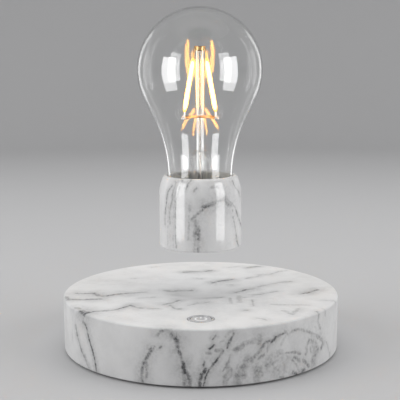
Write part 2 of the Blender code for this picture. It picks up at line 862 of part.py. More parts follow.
def make_cap(looks, bulb):
    """The marble-look cap with its rounded shoulder, and the disc that closes it below."""
    drop, inset = cap_shoulder_drop, cap_shoulder_inset
    shoulder_radius = (drop**2 + inset**2) / (2 * inset)
    shoulder_sweep = math.asin(drop / shoulder_radius)
    shoulder_centre = (cap_radius - shoulder_radius, cap_shoulder_level)
    shoulder = arc(shoulder_centre, shoulder_radius, shoulder_sweep, 0, shoulder_steps)
    heel = cap_bottom_edge_radius
    outline = [
        (cap_lip_inner_radius, cap_top),
        (cap_rim_radius - cap_lip_edge, cap_top),
        (cap_rim_radius, cap_top - cap_lip_edge),
    ]
    outline += shoulder[1:]
    outline += arc((cap_radius - heel, cap_underside + heel), heel, 0, -quarter_turn, edge_steps)
    outline += [
        (cap_inner_radius, cap_underside),
        (cap_inner_radius, cap_shoulder_level),
        (cap_lip_inner_radius, cap_top - cap_lip_height),
    ]
    place("cap_shell", turned(outline, cap_sides), looks["marble"], bulb)
    disc = disc_outline(
        cap_inner_radius - seat_gap,
        cap_bottom_level,
        cap_bottom_level + cap_bottom_thickness,
    )
    place("cap_bottom", turned(disc, medium_sides), looks["marble"], bulb)


def make_cap_insides(looks, bulb):
    """The magnet's cup, the pick-up coil round it, the driver board above and the cement."""
    outline = [
        (0, cup_top),
        (cup_outer_radius, cup_top),
        (cup_outer_radius, magnet_bottom),
        (cup_inner_radius, magnet_bottom),
        (cup_inner_radius, cup_ceiling),
        (0, cup_ceiling),
    ]
    cup = place("magnet_cup", turned(outline, medium_sides), looks["black_plastic"], bulb)
    posts = bmesh.new()
    ends = cup_top - magnet_cup_wall / 2, cup_top + cup_post_height
    for spot in around(cup_post_count, cup_outer_radius - cup_post_inset):
        add_cylinder(posts, cup_post_radius, *ends, coil_sides, spot)
    combine(cup, "cup_posts", posts, "UNION")

    coil = tube_outline(
        cap_inner_radius - seat_gap,
        cup_outer_radius + seat_gap,
        magnet_bottom,
        magnet_bottom + receiver_coil_height,
    )
    place("receiver_coil", turned(coil, medium_sides), looks["copper"], bulb)
    board = disc_outline(driver_board_radius, driver_board_bottom, driver_board_top)
    place("driver_board", turned(board, medium_sides), looks["board"], bulb)
    edge = driver_capacitor_radius * capacitor_edge_share
    ends = driver_capacitor_bottom, driver_capacitor_top
    can = disc_outline(driver_capacitor_radius, *ends, edge)
    spot = (driver_capacitor_offset, 0, 0)
    place("driver_capacitor", turned(can, coil_sides), looks["aluminium"], bulb, spot)
    radii = cap_inner_radius - seat_gap, neck_radius + seat_gap
    cement = tube_outline(*radii, neck_bottom, cap_shoulder_level - seat_gap)
    place("cement_ring", turned(cement, medium_sides), looks["cement"], bulb)


def glass_side(inwards, sphere_steps, blend_steps):
    """The envelope's outline from its top to the foot of its neck, moved inwards by a wall.

    The globe runs into a straight cone, and an arc blends that into the upright neck.
    """
    globe = arc(
        (0, globe_centre),
        globe_radius - inwards,
        quarter_turn,
        -cone_half_angle,
        sphere_steps,
    )
    blend = arc(
        (neck_radius + neck_blend_radius, neck_straight_top),
        neck_blend_radius + inwards,
        math.pi - cone_half_angle,
        math.pi,
        blend_steps,
    )
    return globe + blend + [(neck_radius - inwards, neck_bottom)]


def make_glass(looks, bulb):
    """The blown envelope, open at its neck."""
    outside = glass_side(0, globe_steps, neck_steps)
    inside = glass_side(glass_wall, globe_inner_steps, neck_inner_steps)
    shape = turned(outside + inside[::-1], glass_sides)
    place("glass_envelope", shape, looks["glass"], bulb)


def skirt_curve(tube, rim, high, low):
    """The flare from the stem's tube out to its rim: a quarter of an ellipse."""
    points = []
    for step in range(flare_steps + 1):
        angle = quarter_turn * step / flare_steps
        radius = rim - (rim - tube) * math.cos(angle)
        points.append((radius, high - (high - low) * math.sin(angle)))
    return points


def make_stem(looks, bulb):
    """The stem in the neck: a thin flare, a tall post on its dome, and the sealed exhaust tube."""
    inner_radius = flare_tube_radius - flare_wall
    outer_start = math.acos(post_radius / flare_tube_radius)
    inner_start = math.acos(post_radius / inner_radius)
    centre = (0, flare_shoulder)
    outline = [
        (0, post_top),
        (post_radius - post_edge, post_top),
        (post_radius, post_top - post_edge),
    ]
    outline += arc(centre, flare_tube_radius, outer_start, 0, flare_steps)
    outline += skirt_curve(
        flare_tube_radius, flare_rim_radius, flare_skirt_top, neck_bottom + flare_wall
    )
    inner_skirt_top = flare_skirt_top - flare_wall
    inner_skirt = skirt_curve(inner_radius, flare_rim_radius, inner_skirt_top, neck_bottom)
    outline += reversed(inner_skirt)
    outline += arc(centre, inner_radius, 0, inner_start, flare_inner_steps)
    outline += [(post_radius, exhaust_bottom), (0, exhaust_bottom)]
    place("glass_stem", turned(outline, small_sides), looks["glass"], bulb)


def dome_level(radius, offset):
    """The height of a dome of the stem over a distance from the axis."""
    return flare_shoulder + math.sqrt(radius**2 - offset**2)


def filament_angle(number):
    """Where a filament stands round the axis: on the corners of a square."""
    return eighth_turn + full_turn * number / filament_count


def make_filaments(looks, bulb):
    """Filaments that lean in towards the crown, tapered at both ends."""
    shoulder = filament_radius * filament_shoulder_share
    outline = [
        (0, 0),
        (filament_tip_radius, 0),
        (shoulder, -filament_tip_length / 2),
        (filament_radius, -filament_tip_length),
        (filament_radius, filament_tip_length - filament_length),
        (shoulder, filament_tip_length / 2 - filament_length),
        (filament_tip_radius, -filament_length),
        (0, -filament_length),
    ]
    spots = []
    turns = []
    for number in range(filament_count):
        angle = filament_angle(number)
        spots.append(on_circle(filament_top_offset, angle, filament_top))
        turns.append(Quaternion((0, 0, 1), angle) @ Quaternion((0, 1, 0), -filament_tilt))
    shape = turned(outline, filament_sides)
    place_copies("filament", shape, looks["phosphor"], bulb, spots, turns)


def along_filament():
    """The direction from the top of the filament on +X to its foot."""
    return Vector((math.sin(filament_tilt), 0, -math.cos(filament_tilt)))


def make_crown(looks, bulb):
    """The ferrule on the post's top, and the wires that arch from it to the filaments."""
    edge = crown_wall / 2
    ferrule = [
        (0, crown_top),
        (crown_outer_radius - edge, crown_top),
        (crown_outer_radius, crown_top - edge),
        (crown_outer_radius, crown_bottom),
        (crown_inner_radius, crown_bottom),
        (crown_inner_radius, crown_ceiling),
        (0, crown_ceiling),
    ]
    crown = place("crown", turned(ferrule, small_sides), looks["wire"], bulb)
    arms = bmesh.new()
    start = Vector((crown_outer_radius - edge, 0, (crown_top + crown_bottom) / 2))
    end = Vector((filament_top_offset, 0, filament_top)) - along_filament() * seat_gap
    leave = start + Vector((crown_wire_arch / 2, 0, crown_wire_arch / 2))
    arrive = end - along_filament() * crown_wire_arch
    path = interpolate_bezier(start, leave, arrive, end, crown_wire_points)
    for number in range(filament_count):
        turn = Matrix.Rotation(filament_angle(number), 3, "Z")
        add_wire(arms, [turn @ point for point in path], crown_wire_radius, wire_sides)
    combine(crown, "crown_wires", arms, "UNION")


def make_lower_wire(looks, bulb, name, side):
    """A bowed wire under a pair of filaments, welded to their feet, with the lead that carries it."""
    reach = lower_corner + lower_wire_overhang
    path = []
    for step in range(lower_wire_steps + 1):
        across = reach * (2 * step / lower_wire_steps - 1)
        outward_share = (across / lower_corner) ** 2
        back = lead_wire_offset + (lower_corner - lead_wire_offset) * outward_share
        level = lower_wire_level + lower_wire_bow * (1 - outward_share)
        path.append(Vector((across, side * back, level)))
    bar = bmesh.new()
    add_wire(bar, path, lower_wire_radius, wire_sides)
    wire = place(f"lower_wire_{name}", bar, looks["wire"], bulb)

    risers = bmesh.new()
    spots = bmesh.new()
    dome = dome_level(flare_tube_radius, lead_wire_offset - lead_wire_radius)
    lead = [
        Vector((0, side * lead_wire_offset, lower_wire_level + lower_wire_bow)),
        Vector((0, side * lead_wire_offset, dome + seat_gap)),
    ]
    add_wire(risers, lead, lead_wire_radius, wire_sides)
    foot = Vector((filament_bottom_offset, 0, filament_bottom)) + along_filament() * seat_gap
    for hand in (-1, 1):
        weld = Vector((hand * lower_corner, side * lower_corner, lower_wire_level))
        turn = Matrix.Rotation(math.atan2(side, hand), 3, "Z")
        add_wire(risers, [weld, turn @ foot], lower_tab_radius, wire_sides)
        bmesh.ops.create_icosphere(
            spots,
            subdivisions=weld_spot_fineness,
            radius=weld_spot_radius,
            matrix=Matrix.Translation(weld),
        )
    combine(wire, f"{name}_risers", risers, "UNION")
    combine(wire, f"{name}_weld_spots", spots, "UNION")


def make_lead_wire(looks, bulb, name, side):
    """The lead inside the stem, from under its dome down to the driver board."""
    dome = dome_level(flare_tube_radius - flare_wall, lead_wire_offset + lead_wire_radius)
    ends = [
        Vector((0, side * lead_wire_offset, dome - seat_gap)),
        Vector((0, side * lead_wire_offset, driver_board_top + seat_gap)),
    ]
    lead = bmesh.new()
    add_wire(lead, ends, lead_wire_radius, wire_sides)
    place(f"lead_wire_{name}", lead, looks["wire"], bulb)


def make_base(looks, base):
    """Everything that stands on the table."""
    make_base_shell(looks, base)
    make_bottom_plate(looks, base)
    make_feet(looks, base)
    make_screws(looks, base)
    make_touch_key(looks, base)
    make_control_board(looks, base)
    make_board_parts(looks, base)
    make_jack(looks, base)
    make_magnetic_drive(looks, base)
    make_steering_coils(looks, base)
    make_sensor_board(looks, base)


def make_bulb(looks, bulb):
    """Everything that turns: the cap, what it holds, and the glass bulb."""
    make_cap(looks, bulb)
    make_cap_insides(looks, bulb)
    make_glass(looks, bulb)
    make_stem(looks, bulb)
    make_filaments(looks, bulb)
    make_crown(looks, bulb)
    for name, side in (("front", -1), ("back", 1)):
        make_lower_wire(looks, bulb, name, side)
        make_lead_wire(looks, bulb, name, side)


def main():
    remove_everything()
    looks = make_finishes()
    base = carrier("base", 0)
    field = carrier("field", magnet_bottom)
    bulb = carrier("bulb", cap_underside, field)
    make_base(looks, base)
    make_levitation_magnet(looks, field)
    make_bulb(looks, bulb)


main()
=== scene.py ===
import json
import math

import bmesh
import bpy
from mathutils import Matrix, Quaternion, Vector
from mathutils.geometry import interpolate_bezier


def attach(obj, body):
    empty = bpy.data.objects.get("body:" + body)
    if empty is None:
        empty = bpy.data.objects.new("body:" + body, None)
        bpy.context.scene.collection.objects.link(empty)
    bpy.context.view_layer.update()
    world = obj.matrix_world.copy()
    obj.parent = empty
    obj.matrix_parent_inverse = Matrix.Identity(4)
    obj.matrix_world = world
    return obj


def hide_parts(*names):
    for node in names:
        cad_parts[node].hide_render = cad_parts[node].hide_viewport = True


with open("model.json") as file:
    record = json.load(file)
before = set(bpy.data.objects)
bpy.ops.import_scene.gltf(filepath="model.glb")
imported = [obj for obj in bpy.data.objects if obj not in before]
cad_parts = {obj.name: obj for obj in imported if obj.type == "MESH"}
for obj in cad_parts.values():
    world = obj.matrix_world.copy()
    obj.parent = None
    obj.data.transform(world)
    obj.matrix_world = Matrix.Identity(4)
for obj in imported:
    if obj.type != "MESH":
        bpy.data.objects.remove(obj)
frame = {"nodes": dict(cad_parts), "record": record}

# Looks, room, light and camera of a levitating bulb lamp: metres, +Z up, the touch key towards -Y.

mm = 0.001
full_turn = 2 * math.pi
quarter_turn = full_turn / 4
eighth_turn = full_turn / 8

# Base housing
base_radius = 67 * mm
base_bottom = 0.8 * mm
base_top = 26.5 * mm
base_wall = 2.5 * mm
base_top_edge = 1 * mm
base_bottom_edge = 0.8 * mm
dish_radius = 22 * mm
dish_depth = 2.2 * mm
boss_circle = 57.5 * mm
boss_radius = 3.5 * mm
boss_bore_radius = 1.5 * mm
boss_bottom = 3.9 * mm
boss_bore_depth = 9 * mm
boss_count = 4
inlet_hole_radius = 4.2 * mm
inlet_level = 14.6 * mm
cut_overrun = 1 * mm

# Touch key
key_distance = 50.8 * mm
key_ring_radius = 5.9 * mm
key_ring_width = 0.9 * mm
key_ring_proud = 0.15 * mm
key_recess_depth = 1.2 * mm
key_sink = 0.1 * mm
key_edge = 0.12 * mm
seat_gap = 0.3 * mm
symbol_radius = 2.5 * mm
symbol_line = 0.75 * mm
symbol_height = 0.05 * mm
symbol_opening = math.radians(38)
symbol_bar_low = 0.9 * mm
symbol_bar_high = 3.1 * mm
sign_corners = 4

# Cap
cap_underside = 49.45 * mm
cap_top = 84.05 * mm
cap_radius = 19.95 * mm
cap_inner_radius = 18.15 * mm
cap_rim_radius = 17.7 * mm
cap_lip_inner_radius = 16.1 * mm
cap_lip_edge = 0.4 * mm
cap_lip_height = 2.6 * mm
cap_lip_reach = 1.6 * cap_lip_edge
cap_shoulder_inset = 2.25 * mm
cap_shoulder_drop = 8.5 * mm
cap_bottom_edge = 1.2 * mm

# Bulb
globe_radius = 30 * mm
neck_radius = 15.8 * mm
neck_bottom = 71.4 * mm
neck_straight_top = 82.25 * mm
cone_length = 8.06 * mm
cone_half_angle = math.radians(26.6)
glass_wall = 0.9 * mm
post_radius = 1.9 * mm
post_rise = 10.5 * mm
post_edge = 0.7 * mm
post_bore_radius = 0.75 * mm
post_bore_depth = 1.6 * mm
stem_gap = 0.05 * mm
flare_tube_radius = 5.6 * mm
flare_top = 97.05 * mm
flare_wall = 0.4 * mm
flare_skirt_height = 9 * mm
exhaust_bottom = 69.9 * mm
filament_radius = 1.05 * mm
filament_tip_radius = 0.5 * mm
filament_tip_length = 2.4 * mm
filament_shoulder_share = 0.85
filament_top_rise = 5.4 * mm
filament_top_offset = 4.4 * mm
filament_bottom_offset = 10.45 * mm
crown_wall = 0.55 * mm
crown_height = 1.9 * mm
crown_wire_radius = 0.35 * mm
crown_wire_arch = 2.6 * mm
lower_wire_level = 112.05 * mm
lower_wire_radius = 0.35 * mm
lower_wire_overhang = 1 * mm
lower_wire_bow = 0.35 * mm
lower_tab_length = 3 * mm
lower_tab_radius = 0.4 * mm
weld_spot_radius = 0.7 * mm
lead_wire_radius = 0.3 * mm
lead_wire_offset = 3.2 * mm
filament_count = 4
core_share = 0.82
core_end_gap = 1.1 * mm
chip_pitch = 1.1 * mm

# Derived places of the bulb
neck_blend_radius = (
    globe_radius * math.cos(cone_half_angle)
    - cone_length * math.sin(cone_half_angle)
    - neck_radius
) / (1 - math.cos(cone_half_angle))
globe_centre = (
    neck_straight_top
    + (neck_blend_radius + globe_radius) * math.sin(cone_half_angle)
    + cone_length * math.cos(cone_half_angle)
)
post_top = globe_centre + post_rise
flare_shoulder = flare_top - flare_tube_radius
flare_rim_radius = neck_radius - glass_wall - seat_gap
filament_top = globe_centre + filament_top_rise
filament_bottom = lower_wire_level + lower_tab_length
filament_spread = filament_bottom_offset - filament_top_offset
filament_length = math.hypot(filament_top - filament_bottom, filament_spread)
filament_tilt = math.atan2(filament_spread, filament_top - filament_bottom)
lower_corner = filament_bottom_offset * math.sin(eighth_turn)

# Fineness
base_sides = 192
cap_sides = 128
glass_sides = 128
key_sides = 96
small_sides = 48
wire_sides = 16
curve_steps = 48
crown_wire_steps = 24
ball_steps = 12
edge_steps = 10
post_edge_steps = 6
lip_steps = 5
ring_edge_steps = 4
key_edge_steps = 3
sharp_angle = math.radians(32)

# Marble: its drawn veins, then the sizes of its noises and how far they move the veins
vein_widening = 1.4
soft_edge_reach = 4.0
soft_edge_share = 0.34
cap_vein_strength = 1.35
broad_size = 8 * mm
broad_sway = 1.6 * mm
fine_size = 1.3 * mm
fine_sway = 1.5 * mm
wild_sway = 9 * mm
grain_size = 1.2 * mm
swell_size = 5 * mm
band_size = 26 * mm
thread_size = 11 * mm
patch_size = 20 * mm
cloud_size = 16 * mm
wave_size = 2.2 * mm
wave_depth = 0.012 * mm

# Where the free veins of the rear fade in: across the base and the cap, and below the base's top
base_rear_start = -5 * mm
base_rear_end = 25 * mm
base_rear_drop = 4 * mm
cap_rear_start = -4 * mm
cap_rear_end = 6 * mm

# Other looks
gloss_range = 0.08
glass_shadow = 0.93
flare_presence = 0.16
glass_index = 1.5
glass_smear_size = 9 * mm
glass_wave_size = 14 * mm
glass_wave_depth = 0.03 * mm
coat_grain_size = 0.6 * mm
coat_presence = 0.55
coat_glow = 1.1
core_glow = 24.0
winding_wear_size = 2 * mm
track_size = 3.2 * mm
track_depth = 0.05 * mm
mask_size = 5 * mm

# Room
floor_radius = 1000 * mm
bend_radius = 600 * mm
backdrop_height = 2200 * mm
bend_steps = 24
mottle_size = 400 * mm
floor_grain_size = 2 * mm
floor_grain_depth = 0.1 * mm

# Soft boxes: bearing from the front, distance from the axis, size, and glow, where white is 1
strip_bearing = math.radians(55.5)
strip_distance = 220 * mm
strip_width = 100 * mm
strip_low = 3 * mm
strip_middle = 61 * mm
strip_high = 215 * mm
strip_low_glow = 5.0
strip_high_glow = 7.2
rim_bearing = math.radians(116)
rim_distance = 500 * mm
rim_width = 110 * mm
rim_low = 10 * mm
rim_high = 300 * mm
rim_glow = 0.6
back_bearing = math.radians(143)
back_distance = 400 * mm
back_width = 90 * mm
back_low = 5 * mm
back_high = 320 * mm
back_glow = 1.3
fill_bearing = math.radians(76)
fill_distance = 1250 * mm
fill_width = 1500 * mm
fill_low = 220 * mm
fill_high = 1250 * mm
left_fill_glow = 2.6
right_fill_glow = 2.4
top_distance = 900 * mm
top_setback = 150 * mm
top_width = 900 * mm
top_glow = 1.65
sky_strength = 0.32

# Bounces that a ray has to pass: one off gloss, those through the bulb, those through its post too
one_bounce = 0.5
bulb_crossings = 3.5
post_crossings = 5.5

# Camera
camera_distance = 456.8 * mm
camera_height = 141.4 * mm
camera_side = -0.16 * mm
camera_pitch = math.radians(8.674)
camera_roll = math.radians(0.227)
camera_lens = 85.49
sensor_width = 36.0
nearest_seen = 10 * mm


def arc(centre, radius, start, end, steps):
    """Points of an arc in a profile plane."""
    points = []
    for step in range(steps + 1):
        angle = start + (end - start) * step / steps
        points.append((centre[0] + radius * math.cos(angle), centre[1] + radius * math.sin(angle)))
    return points


def turned(outline, sides, spot=(0, 0, 0), turn=Quaternion(), ring=False):
    """Vertices and faces of an outline of (radius, height) points turned about the axis."""
    vertices = []
    rows = []
    for radius, height in outline:
        if radius < 1e-9:
            rows.append([len(vertices)])
            vertices.append(Vector((0, 0, height)))
            continue
        rows.append(list(range(len(vertices), len(vertices) + sides)))
        for side in range(sides):
            angle = full_turn * side / sides
            vertices.append(Vector((radius * math.cos(angle), radius * math.sin(angle), height)))
    faces = []
    pairs = list(zip(rows, rows[1:]))
    if ring:
        pairs.append((rows[-1], rows[0]))
    for upper, lower in pairs:
        for side in range(sides):
            after = (side + 1) % sides
            if len(upper) == 1 and len(lower) == 1:
                continue
            if len(upper) == 1:
                faces.append((upper[0], lower[side], lower[after]))
            elif len(lower) == 1:
                faces.append((upper[side], lower[0], upper[after]))
            else:
                faces.append((upper[side], lower[side], lower[after], upper[after]))
    moved = [turn @ vertex + Vector(spot) for vertex in vertices]
    return moved, faces


def tube_faces(rows, sides):
    """Faces of a closed tube of rows of vertices, with so many vertices in a row."""
    faces = []
    for row in range(rows - 1):
        for side in range(sides):
            after = (side + 1) % sides
            a, b = row * sides, (row + 1) * sides
            faces.append((a + side, a + after, b + after, b + side))
    return faces + [tuple(reversed(range(sides))), tuple(range((rows - 1) * sides, rows * sides))]


def wire(points, radius):
    """Vertices and faces of a round wire along points, with flat ends."""
    turn = Vector((0, 0, 1)).rotation_difference((points[1] - points[0]).normalized())
    last = len(points) - 1
    vertices = []
    for index, point in enumerate(points):
        heading = (points[min(index + 1, last)] - points[max(index - 1, 0)]).normalized()
        turn = (turn @ Vector((0, 0, 1))).rotation_difference(heading) @ turn
        for side in range(wire_sides):
            angle = full_turn * side / wire_sides
            spot = Vector((radius * math.cos(angle), radius * math.sin(angle), 0))
            vertices.append(point + turn @ spot)
    return vertices, tube_faces(len(points), wire_sides)


def ball(spot, radius):
    """Vertices and faces of a small globe."""
    return turned(arc((0, 0), radius, quarter_turn, -quarter_turn, ball_steps), wire_sides, spot)


def mesh_of(name, shapes):
    """One mesh of shapes, each given as vertices and faces, with the faces turned outwards."""
    vertices = []
    faces = []
    for points, loops in shapes:
        start = len(vertices)
        vertices += [tuple(point) for point in points]
        faces += [tuple(start + index for index in loop) for loop in loops]
    mesh = bpy.data.meshes.new(name)
    mesh.from_pydata(vertices, [], faces)
    shape = bmesh.new()
    shape.from_mesh(mesh)
    bmesh.ops.recalc_face_normals(shape, faces=shape.faces)
    shape.to_mesh(mesh)
    shape.free()
    return mesh


def smooth(mesh):
    """Shades a mesh smooth, except where its faces meet at a sharp angle."""
    mesh.shade_smooth()
    mesh.set_sharp_from_angle(angle=sharp_angle)


def show(name, data):
    """A new object in the scene."""
    thing = bpy.data.objects.new(name, data)
    bpy.context.scene.collection.objects.link(thing)
    return thing


def piece(name, shapes, material, body, replaced=()):
    """A shown object from shapes, riding on a body and standing for CAD nodes."""
    mesh = mesh_of(name, shapes)
    smooth(mesh)
    mesh.materials.append(material)
    thing = show(name, mesh)
    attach(thing, body)
    if replaced:
        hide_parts(*replaced)
    return thing


def cut(thing, shapes):
    """Cuts shapes out of a piece and keeps the result as its mesh."""
    cutter = show("cutter", mesh_of("cutter", shapes))
    step = thing.modifiers.new("cut", "BOOLEAN")
    step.operation = "DIFFERENCE"
    step.solver = "EXACT"
    step.object = cutter
    bpy.context.view_layer.update()
    seen = thing.evaluated_get(bpy.context.evaluated_depsgraph_get())
    kept = bpy.data.meshes.new_from_object(seen)
    thing.modifiers.clear()
    kept.name = thing.name
    thing.data = kept
    smooth(kept)
    bpy.data.objects.remove(cutter)


def cylinder(radius, low, high, sides, spot=(0, 0, 0), turn=Quaternion()):
    """A closed cylinder for cuts and bosses."""
    return turned([(0, high), (radius, high), (radius, low), (0, low)], sides, spot, turn)


class Nodes:
    """A node tree whose nodes are added by short calls, each of which gives its output."""

    def __init__(self, tree):
        self.tree = tree

    def feed(self, socket, value):
        """Links an output to a socket, or sets its value; a colour is given as three numbers."""
        if isinstance(value, bpy.types.NodeSocket):
            self.tree.links.new(value, socket)
        elif socket.type == "RGBA":
            socket.default_value = (*value, 1.0)
        else:
            socket.default_value = value

    def add(self, kind, *values):
        """A new node, with its first inputs fed."""
        node = self.tree.nodes.new(kind)
        for socket, value in zip(node.inputs, values):
            self.feed(socket, value)
        return node

    def math(self, operation, *values):
        node = self.add("ShaderNodeMath", *values)
        node.operation = operation
        return node.outputs[0]

    def times(self, first, second):
        return self.math("MULTIPLY", first, second)

    def vector(self, operation, first, second):
        node = self.add("ShaderNodeVectorMath", first, second)
        node.operation = operation
        return node.outputs["Value" if operation in ("DOT_PRODUCT", "DISTANCE") else "Vector"]

    def scaled(self, vector, scale):
        node = self.add("ShaderNodeVectorMath", vector)
        node.operation = "SCALE"
        self.feed(node.inputs["Scale"], scale)
        return node.outputs["Vector"]

    def parts(self, vector):
        return self.add("ShaderNodeSeparateXYZ", vector).outputs

    def join(self, x, y, z):
        return self.add("ShaderNodeCombineXYZ", x, y, z).outputs[0]

    def clamp(self, value):
        return self.add("ShaderNodeClamp", value).outputs[0]

    def spread(self, value, low, high, to_low=0.0, to_high=1.0, smooth=True):
        node = self.add("ShaderNodeMapRange", value, low, high, to_low, to_high)
        node.interpolation_type = "SMOOTHSTEP" if smooth else "LINEAR"
        node.clamp = not smooth  # smoothstep stays in its range by itself
        return node.outputs[0]

    def mix(self, share, first, second):
        node = self.add("ShaderNodeMix")
        node.data_type = "RGBA"
        self.feed(node.inputs[0], share)
        self.feed(node.inputs[6], first)
        self.feed(node.inputs[7], second)
        return node.outputs[2]

    def use(self, group, *values):
        node = self.add("ShaderNodeGroup")
        node.node_tree = group
        for socket, value in zip(node.inputs, values):
            self.feed(socket, value)
        return node.outputs[0]


class Look(Nodes):
    """A material round one Principled shader."""

    def __init__(self, name):
        self.material = bpy.data.materials.new(name)
        self.material.use_nodes = True
        super().__init__(self.material.node_tree)
        self.shader = self.tree.nodes["Principled BSDF"]
        self.output = self.tree.nodes["Material Output"]
        self.place = self.add("ShaderNodeTexCoord").outputs["Object"]

    def noise(self, size, detail=2.0, roughness=0.5, where=None, colour=False):
        """Noise whose blotches are about size across."""
        node = self.add("ShaderNodeTexNoise")
        self.feed(node.inputs["Vector"], self.place if where is None else where)
        node.inputs["Scale"].default_value = 1 / size
        node.inputs["Detail"].default_value = detail
        node.inputs["Roughness"].default_value = roughness
        return node.outputs["Color" if colour else "Fac"]

    def lines(self, size, roughness, where):
        """Noise that is 0 along winding lines and more away from them."""
        offset = self.math("SUBTRACT", self.noise(size, 5.0, roughness, where), 0.5)
        return self.math("ABSOLUTE", offset)

    def bump(self, height, depth, strength):
        node = self.add("ShaderNodeBump")
        self.feed(node.inputs["Height"], height)
        node.inputs["Distance"].default_value = depth
        node.inputs["Strength"].default_value = strength
        self.feed(self.shader.inputs["Normal"], node.outputs[0])

    def set(self, **values):
        for name, value in values.items():
            self.feed(self.shader.inputs[name.replace("_", " ")], value)


def grey(level, blue=0.0):
    """A grey, with a little more blue in it."""
    return level, level, level + blue


def plain_look(name, light, dark, roughness, metallic=0.0, size=3 * mm, grain=0.02 * mm):
    """A moulded, cast or drawn surface: two near tones, uneven gloss and fine grain."""
    look = Look(name)
    broad = look.noise(size, 3.0, 0.55)
    fine = look.noise(size / 8)
    share = look.math("ADD", look.times(broad, 0.7), look.times(fine, 0.3))
    low, high = roughness - gloss_range, roughness + gloss_range
    look.set(
        Base_Color=look.mix(look.spread(share, 0.35, 0.65), dark, light),
        Roughness=look.spread(fine, 0.3, 0.7, low, high, smooth=False),
        Metallic=metallic,
    )
    look.bump(fine, grain, 0.5)
    return look.material


def metal_look(name, light, dark, roughness, size=3 * mm):
    """A bare metal surface."""
    return plain_look(name, light, dark, roughness, 1.0, size)


def wound_look(name, light, dark, roughness, metallic, pitch):
    """Wound wire with its turns along the height of a coil, and painted shade in the grooves
    between turns.
    """
    look = Look(name)
    height = look.parts(look.place)[2]
    ridge = look.math("ABSOLUTE", look.math("SINE", look.times(height, math.pi / pitch)))
    # tone is painted shade, dark in the grooves between turns, dimmed a little more at random by
    # wear
    tone = look.times(ridge, look.spread(look.noise(winding_wear_size), 0.3, 0.7, 0.75, 1.0))
    look.set(
        Base_Color=look.mix(tone, dark, light),
        Metallic=metallic,
        Roughness=look.spread(tone, 0, 1, roughness + 0.2, roughness, smooth=False),
    )
    look.bump(ridge, pitch / 2, 0.8)
    return look.material


def node_group(name, sockets, make):
    """A group of nodes from named sockets, V for a vector and F for a number, to one number."""
    tree = bpy.data.node_groups.new(name, "ShaderNodeTree")
    kinds = {"V": "NodeSocketVector", "F": "NodeSocketFloat"}
    for socket, kind in sockets:
        tree.interface.new_socket(socket, in_out="INPUT", socket_type=kinds[kind])
    tree.interface.new_socket("result", in_out="OUTPUT", socket_type=kinds["F"])
    nodes = Nodes(tree)
    entry = nodes.add("NodeGroupInput")
    result = make(nodes, *list(entry.outputs)[:len(sockets)])
    nodes.feed(nodes.add("NodeGroupOutput").inputs[0], result)
    return tree


def nearer(nodes, where, start, run, run_share, nearest):
    """The distance to a stretch of a route, or the nearest one before it if that is less."""
    offset = nodes.vector("SUBTRACT", where, start)
    share = nodes.clamp(nodes.vector("DOT_PRODUCT", offset, run_share))
    distance = nodes.vector("DISTANCE", offset, nodes.scaled(run, share))
    return nodes.math("MINIMUM", distance, nearest)


def darker(nodes, distance, width, reach, line, edge, darkest):
    """The stain of a route, with a soft wide edge, or the darkest one before it if that is more."""
    middle = nodes.spread(distance, 0.0, width, line, 0.0)
    side = nodes.spread(distance, 0.0, reach, edge, 0.0)
    return nodes.math("MAXIMUM", nodes.math("MAXIMUM", middle, side), darkest)


nearer_group = node_group(
    "nearer",
    [("where", "V"), ("start", "V"), ("run", "V"), ("run_share", "V"), ("nearest", "F")],
    nearer,
)
darker_group = node_group(
    "darker",
    [(name, "F") for name in ("distance", "width", "reach", "line", "edge", "darkest")],
    darker,
)


def stains(look, where, routes):
    """The darkest of the routes at a point, each fading out sideways."""
    most = 0.0
    for width, darkness, points in routes:
        closest = 1.0
        for start, end in zip(points, points[1:]):
            a = Vector((*start, 0))
            run = Vector((*end, 0)) - a
            closest = look.use(nearer_group, where, a, run, run / run.length_squared, closest)
        edge = (width * soft_edge_reach, darkness, darkness * soft_edge_share)
        most = look.use(darker_group, closest, width, *edge, most)
    return most


